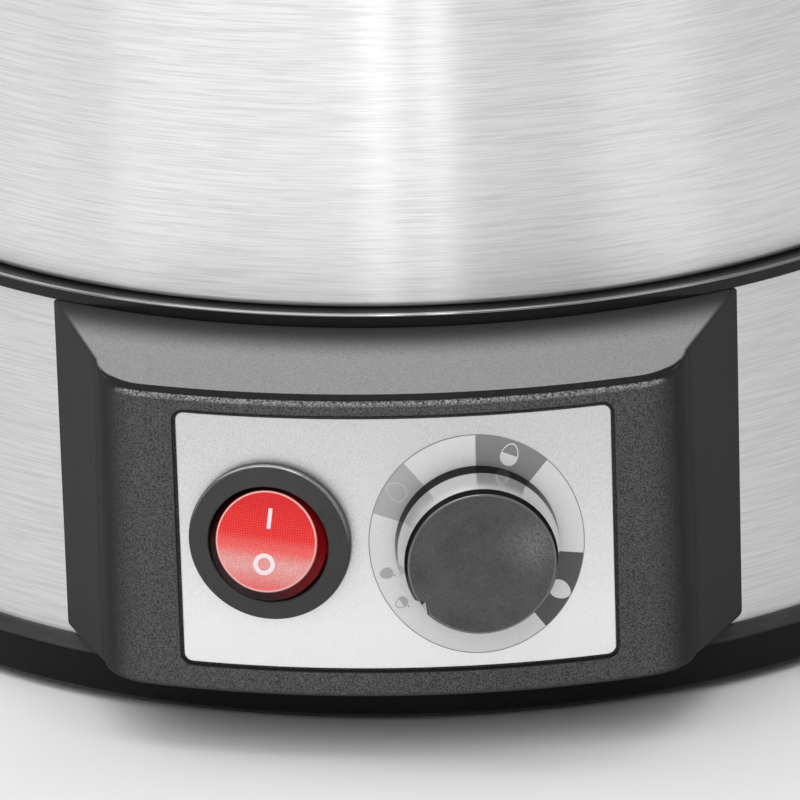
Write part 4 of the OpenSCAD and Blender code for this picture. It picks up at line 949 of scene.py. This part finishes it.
# painted highlight: a thin pale line round the face's rim
rim_line = n.ramp(n.over(n.length(x, n.minus(y, FACE_OFF)), 10.0), [(0.688, 0.0), (0.695, 1.0)])
shaded = n.mix(rim_line, shaded, srgb(236, 176, 172))
# painted shade: dark walls, lighter towards the right
wall = n.mix(n.ramp(n.plus(n.times(x, 1 / 17.0), 0.5), [(0.55, 0.0), (1.0, 1.0)]), srgb(34, 4, 8), srgb(118, 6, 12))
deep = n.mix(n.ramp(n.minus(z, FACE_Z - 0.3), [(0.0, 0.0), (0.2, 1.0)]), wall, shaded)
n.put(s, Base_Color=deep, Emission_Color=deep, Normal=n.bump(dots, 0.3, 0.03))
dress(rocker, "rocker_red", "rocker", ["switch_rocker"])

n, s = material("mark_white", rough=0.45)
n.put(s, Base_Color=n.ramp(n.noise(place_of(n), 4000.0), [(0.3, (0.84, 0.69, 0.73)), (0.7, (0.90, 0.77, 0.80))]))
SUNK, PROUD, RING_IN, RING_OUT = FACE_Z - 0.05, FACE_Z + 0.04, 0.9, 1.53
bar_on = new_object("mark_on", block((-0.13, 2.2, SUNK), (0.43, 5.1, PROUD)), ROCKER)
bevel(bar_on, 0.03, 40, 2)
dress(bar_on, "mark_white", "rocker", slot="rocker_red")
ring_off = spun("mark_off", [(RING_IN, SUNK), (RING_OUT, SUNK), (RING_OUT, PROUD, 0.03), (RING_IN, PROUD, 0.03)],
                ROCKER @ shift(0.05, -2.87), 64)
dress(ring_off, "mark_white", "rocker", slot="rocker_red")

# ---- knob
KNOB_R, KNOB_Z, RING_Z0, RING_R0, RING_Z1, RING_R1 = 11.5, 0.6, 3.3, 11.32, 8.1, 10.72  # the bright ring's edges
KNOB_EDGE, KNOB_FACE, KNOB_IN, KNOB_ROOF, HUB_R, HUB_Z, SHAFT_R = (10.36, 8.95), (10.24, 9.14), 9.2, 7.4, 4.8, 3.1, 3.03
NOTCH, NOTCH_R, NOTCH_OUT = radians(-126), 1.5, 11.0
SHEEN_X, SHEEN_Y, SHEEN_R = 7.4, 2.6, 8.0
knob = spun("knob_cap", [
    (0, KNOB_ROOF), (SHAFT_R, KNOB_ROOF), (SHAFT_R, HUB_Z, 0.1), (HUB_R, HUB_Z, 0.1), (HUB_R, KNOB_ROOF),
    (KNOB_IN, KNOB_ROOF), (KNOB_IN, KNOB_Z), (KNOB_R, KNOB_Z, 0.3), (RING_R0, RING_Z0, 0.4), (RING_R1, RING_Z1, 0.3),
    (*KNOB_EDGE, 0.15), (*KNOB_FACE, 0.2), (0, KNOB_FACE[1])], KNOB, 192)
cut(knob, (rod(NOTCH_R, -1, 12, 64), KNOB @ shift(NOTCH_OUT * sin(NOTCH), NOTCH_OUT * cos(NOTCH))))
# a cloth-like face with a painted sheen patch towards its upper right and a bright lip, over a dark side with a bright
# ring
n, s = material("knob_plastic", Specular_IOR_Level=0.04)
x, y, z = local(n, KNOB)
speck, blotch = n.noise(place_of(n), 3600.0, 2.0, 0.7), n.noise(place_of(n), 260.0, 2.0, 0.6)
tall, wide = n.over(z, 10.0), n.over(n.length(x, y), 12.0)
ring = n.times(n.ramp(tall, [(RING_Z0 / 10, 0.0), (RING_Z0 / 10 + 0.02, 1.0), (RING_Z1 / 10 - 0.015, 1.0),
                             (RING_Z1 / 10, 0.0)]), n.above(wide, 0.884))
top = n.ramp(tall, [(0.895, 0.0), (0.905, 1.0)])
lip = n.times(top, n.ramp(wide, [(0.836, 0.0), (0.840, 1.0)]))
front = n.times(top, n.minus(1.0, lip))
# painted sheen: a paler speckled patch towards the face's upper right stands in for a highlight
painted_sheen = n.ramp(n.over(n.length(n.minus(x, SHEEN_X), n.minus(y, SHEEN_Y)), SHEEN_R), [(0.0, 1.0), (1.0, 0.0)], "EASE")
painted_sheen = n.times(painted_sheen, painted_sheen, n.ramp(speck, [(0.36, 0.25), (0.66, 1.0)]), 0.5)
cloth = n.ramp(n.plus(n.times(speck, 0.6), n.times(blotch, 0.4)),
               [(0.35, (0.062, 0.062, 0.063)), (0.65, (0.104, 0.104, 0.106))])
side = n.mix(front, 0.008, n.mix(painted_sheen, cloth, 0.30))
n.put(s, Base_Color=n.mix(ring, n.mix(lip, side, 0.18), (0.70, 0.70, 0.705)),
      Metallic=n.times(n.math("MAXIMUM", ring, lip), 0.9), Roughness=n.plus(n.times(front, 0.3), 0.17),
      Normal=n.bump(n.times(speck, front), 0.5, 0.02))
dress(knob, "knob_plastic", "knob", ["control_knob"])

# ---- tray and bowl
EGG_R, EGG_RING, DRAIN_R, TRAY_EDGE, TRAY_SHEET = 17, 48, 2.5, 64.4, 1
tray = spun("tray_disc", [
    (0, TRAY_Z), (TRAY_R, TRAY_Z, 1.0), (TRAY_R, TRAY_EDGE, 0.45), (TRAY_R - TRAY_SHEET, TRAY_EDGE, 0.45),
    (TRAY_R - TRAY_SHEET, TRAY_Z + TRAY_SHEET, 0.4), (0, TRAY_Z + TRAY_SHEET)])
egg_hole, drain = rod(EGG_R, 59, 63, 128), rod(DRAIN_R, 59, 63, 48)
cut(tray, (egg_hole, PLACED), *[(egg_hole, around(a, EGG_RING)) for a in range(30, 360, 60)],
    *[(drain, around(a, EGG_RING / sqrt(3))) for a in range(0, 360, 60)],
    *[(drain, around(a, 60)) for a in (60, 120, 240, 300)])
bevel(tray, 0.22, 50, 2)
dress(tray, "tray_steel", "tray", ["egg_tray"])
LOOP_X, LOOP_Y, LOOP_TOP, TURN, WIRE_R = 68.7, 14, 83.4, 4.0, 1.5
GRIP_HALF, GRIP_R, GRIP_END, GRIP_VALLEY, GRIP_BORE, RIB_PITCH, RIB_HALF = 10, 4.0, 3.6, 3.6, 1.55, 2.6, 0.9
WASHER_R, WASHER_TOP, TRAY_TOP = 2.7, 62.6, TRAY_Z + TRAY_SHEET
washer = lathe(rounded([(0, TRAY_TOP), (WASHER_R, TRAY_TOP), (WASHER_R, WASHER_TOP, 0.5), (0, WASHER_TOP)]), 48)
ribs = [(GRIP_BORE, -GRIP_HALF), (GRIP_END, -GRIP_HALF, 0.6)]
for k in range(-3, 4):
    ribs += [(GRIP_R, RIB_PITCH * k - RIB_HALF, 0.3), (GRIP_R, RIB_PITCH * k + RIB_HALF, 0.3),
             (GRIP_VALLEY, RIB_PITCH * (k + 0.5))]
ribs = ribs[:-1] + [(GRIP_END, GRIP_HALF, 0.6), (GRIP_BORE, GRIP_HALF)]
for side, word in ((-1, "left"), (1, "right")):
    loop_x = side * LOOP_X
    path = [(loop_x, -LOOP_Y, TRAY_TOP), (loop_x, -LOOP_Y, 70)]
    path += [(loop_x, -LOOP_Y + TURN * (1 - c), LOOP_TOP - TURN * (1 - s)) for c, s in QUARTER]
    path += [(x, -y, z) for x, y, z in path[::-1]]
    feet = [moved(washer, shift(loop_x, y)) for y in (-LOOP_Y, LOOP_Y)]
    loop = new_object("loop_" + word, joined(sweep(path, WIRE_R), *feet), PLACED)
    dress(loop, "plated_steel", "tray", ["tray_loops"], slot="tray_steel")
    grip = spun("grip_" + word, ribs, at(loop_x, 0, LOOP_TOP) @ about("X", -90), 64)
    dress(grip, "grip_plastic", "tray", ["tray_grips"])

BOWL_IN, BOWL_OUT, BOWL_FLOOR, BOWL_UNDER, BOWL_DRAFT = 71.2, 72.0, 47.0, 46.2, 2
FLANGE_R, FLANGE_Z, STUD_R, STUD_Z, STUD_RING = 80.2, 59.6, 2.0, 32.6, 57
bowl = spun("bowl_dish", [
    (0, BOWL_UNDER), (BOWL_OUT - BOWL_DRAFT, BOWL_UNDER, 2.2), (BOWL_OUT, FLANGE_Z, 1.0), (FLANGE_R, FLANGE_Z, 0.3),
    (FLANGE_R, TRAY_Z, 0.3), (BOWL_IN, TRAY_Z, 1.8), (BOWL_IN - BOWL_DRAFT, BOWL_FLOOR, 1.4), (0, BOWL_FLOOR)])
weld(bowl, *[(rod(STUD_R, STUD_Z, BOWL_UNDER + 0.4, 48), around(a, STUD_RING)) for a in (90, 210, 330)])
dress(bowl, "bowl_steel", "base", ["heating_bowl"])

# ---- the CAD nodes that keep their shape
for part in frame["record"]["subparts"]:
    kept = frame["nodes"][part["node"]]
    for slot in kept.material_slots:
        slot.material = M[part["material_slot"]]

# ---- studio
AIM, EYE = Vector((1.45, -87.881, 52.369)) * MM, Vector((56.16, -1300.34, 500.88)) * MM
ROLL, LENS = -1.8361, 418.86
back = (EYE - AIM).normalized()
across = Vector((0, 0, 1)).cross(back).normalized()
upward = back.cross(across)
right = across * cos(radians(ROLL)) + upward * sin(radians(ROLL))
camera = add("camera", bpy.data.cameras.new("camera"))
camera.matrix_world = Matrix.Translation(EYE) @ Matrix((right, back.cross(right), back)).transposed().to_4x4()
camera.data.lens, camera.data.sensor_width = LENS, 36.0
camera.data.clip_start, camera.data.clip_end = 0.05, 30.0
scene.camera = camera
bpy.context.scene.view_settings.view_transform = "Standard"

world = bpy.data.worlds.new("studio")
world.use_nodes = True
scene.world = world
n = Nodes(world.node_tree)
world.node_tree.nodes.clear()
x, y, z = n.axes(n("ShaderNodeTexCoord").outputs["Generated"])
rise = n.math("DIVIDE", n.math("ARCSINE", z), pi / 2, clamp=True)
ray = n("ShaderNodeLightPath").outputs
FRONT_SKY, SIDE_SKY, BACK_SKY = 0.44, 0.52, 0.20  # the room is dimmer behind the object
turn = n.plus(n.over(n.math("ARCTAN2", x, n.times(y, -1.0)), 2 * pi), 0.5)
sides = n.ramp(turn, [(0.0, BACK_SKY), (0.17, BACK_SKY), (0.27, SIDE_SKY), (0.40, FRONT_SKY), (0.60, FRONT_SKY),
                      (0.71, SIDE_SKY), (0.82, BACK_SKY), (1.0, BACK_SKY)], "EASE")
sky = n.times(sides, n.ramp(rise, [(0.0, 0.9), (0.4, 1.0), (1.0, 1.1)]))
seen = n.mix(n.math("MAXIMUM", ray["Is Camera Ray"], ray["Is Transmission Ray"]), sky, 1.0)
n("ShaderNodeOutputWorld", i0=n("ShaderNodeBackground", Color=seen, Strength=1.0).outputs[0])

FLOOR_HALF, FLOOR_T = 6000, 40
n, s = material("floor", rough=0.7, Specular_IOR_Level=0.2)
n.put(s, Base_Color=n.ramp(n.noise(place_of(n), 40.0, 3.0), [(0.3, 0.855), (0.7, 0.865)]))
floor = new_object("floor", block((-FLOOR_HALF, -FLOOR_HALF, -FLOOR_T), (FLOOR_HALF, FLOOR_HALF, 0)))
floor.data.materials.append(M["floor"])
LAMPS_AIM = Vector((0, 0, 0.06))


def softbox(name, azimuth, rise, distance, size, glow):
    """A soft panel of the given brightness, by its direction from the front. In metres."""
    a, e = radians(azimuth), radians(rise)
    data = bpy.data.lights.new(name, "AREA")
    data.shape, data.size, data.size_y, data.energy = "RECTANGLE", *size, glow * pi * size[0] * size[1]
    light = add(name, data)
    light.location = distance * Vector((cos(e) * sin(a), -cos(e) * cos(a), sin(e)))
    light.rotation_euler = (LAMPS_AIM - light.location).to_track_quat("-Z", "Y").to_euler()
    light.visible_camera = False


softbox("key", -30.0, 38.0, 1.7, (1.65, 1.1), 1.4)
softbox("strip_a", -3.7, 38.0, 1.65, (0.10, 1.2), 3.0)
softbox("strip_b", 7.4, 38.0, 1.65, (0.12, 1.2), 3.2)
softbox("right", 50.0, 36.0, 1.7, (0.62, 1.1), 0.95)
softbox("left", -96.0, 44.0, 1.7, (0.9, 0.8), 1.3)
softbox("top", -14.0, 70.0, 1.5, (1.4, 0.5), 2.35)
softbox("overhead", 180.0, 62.0, 1.9, (3.2, 1.8), 0.6)
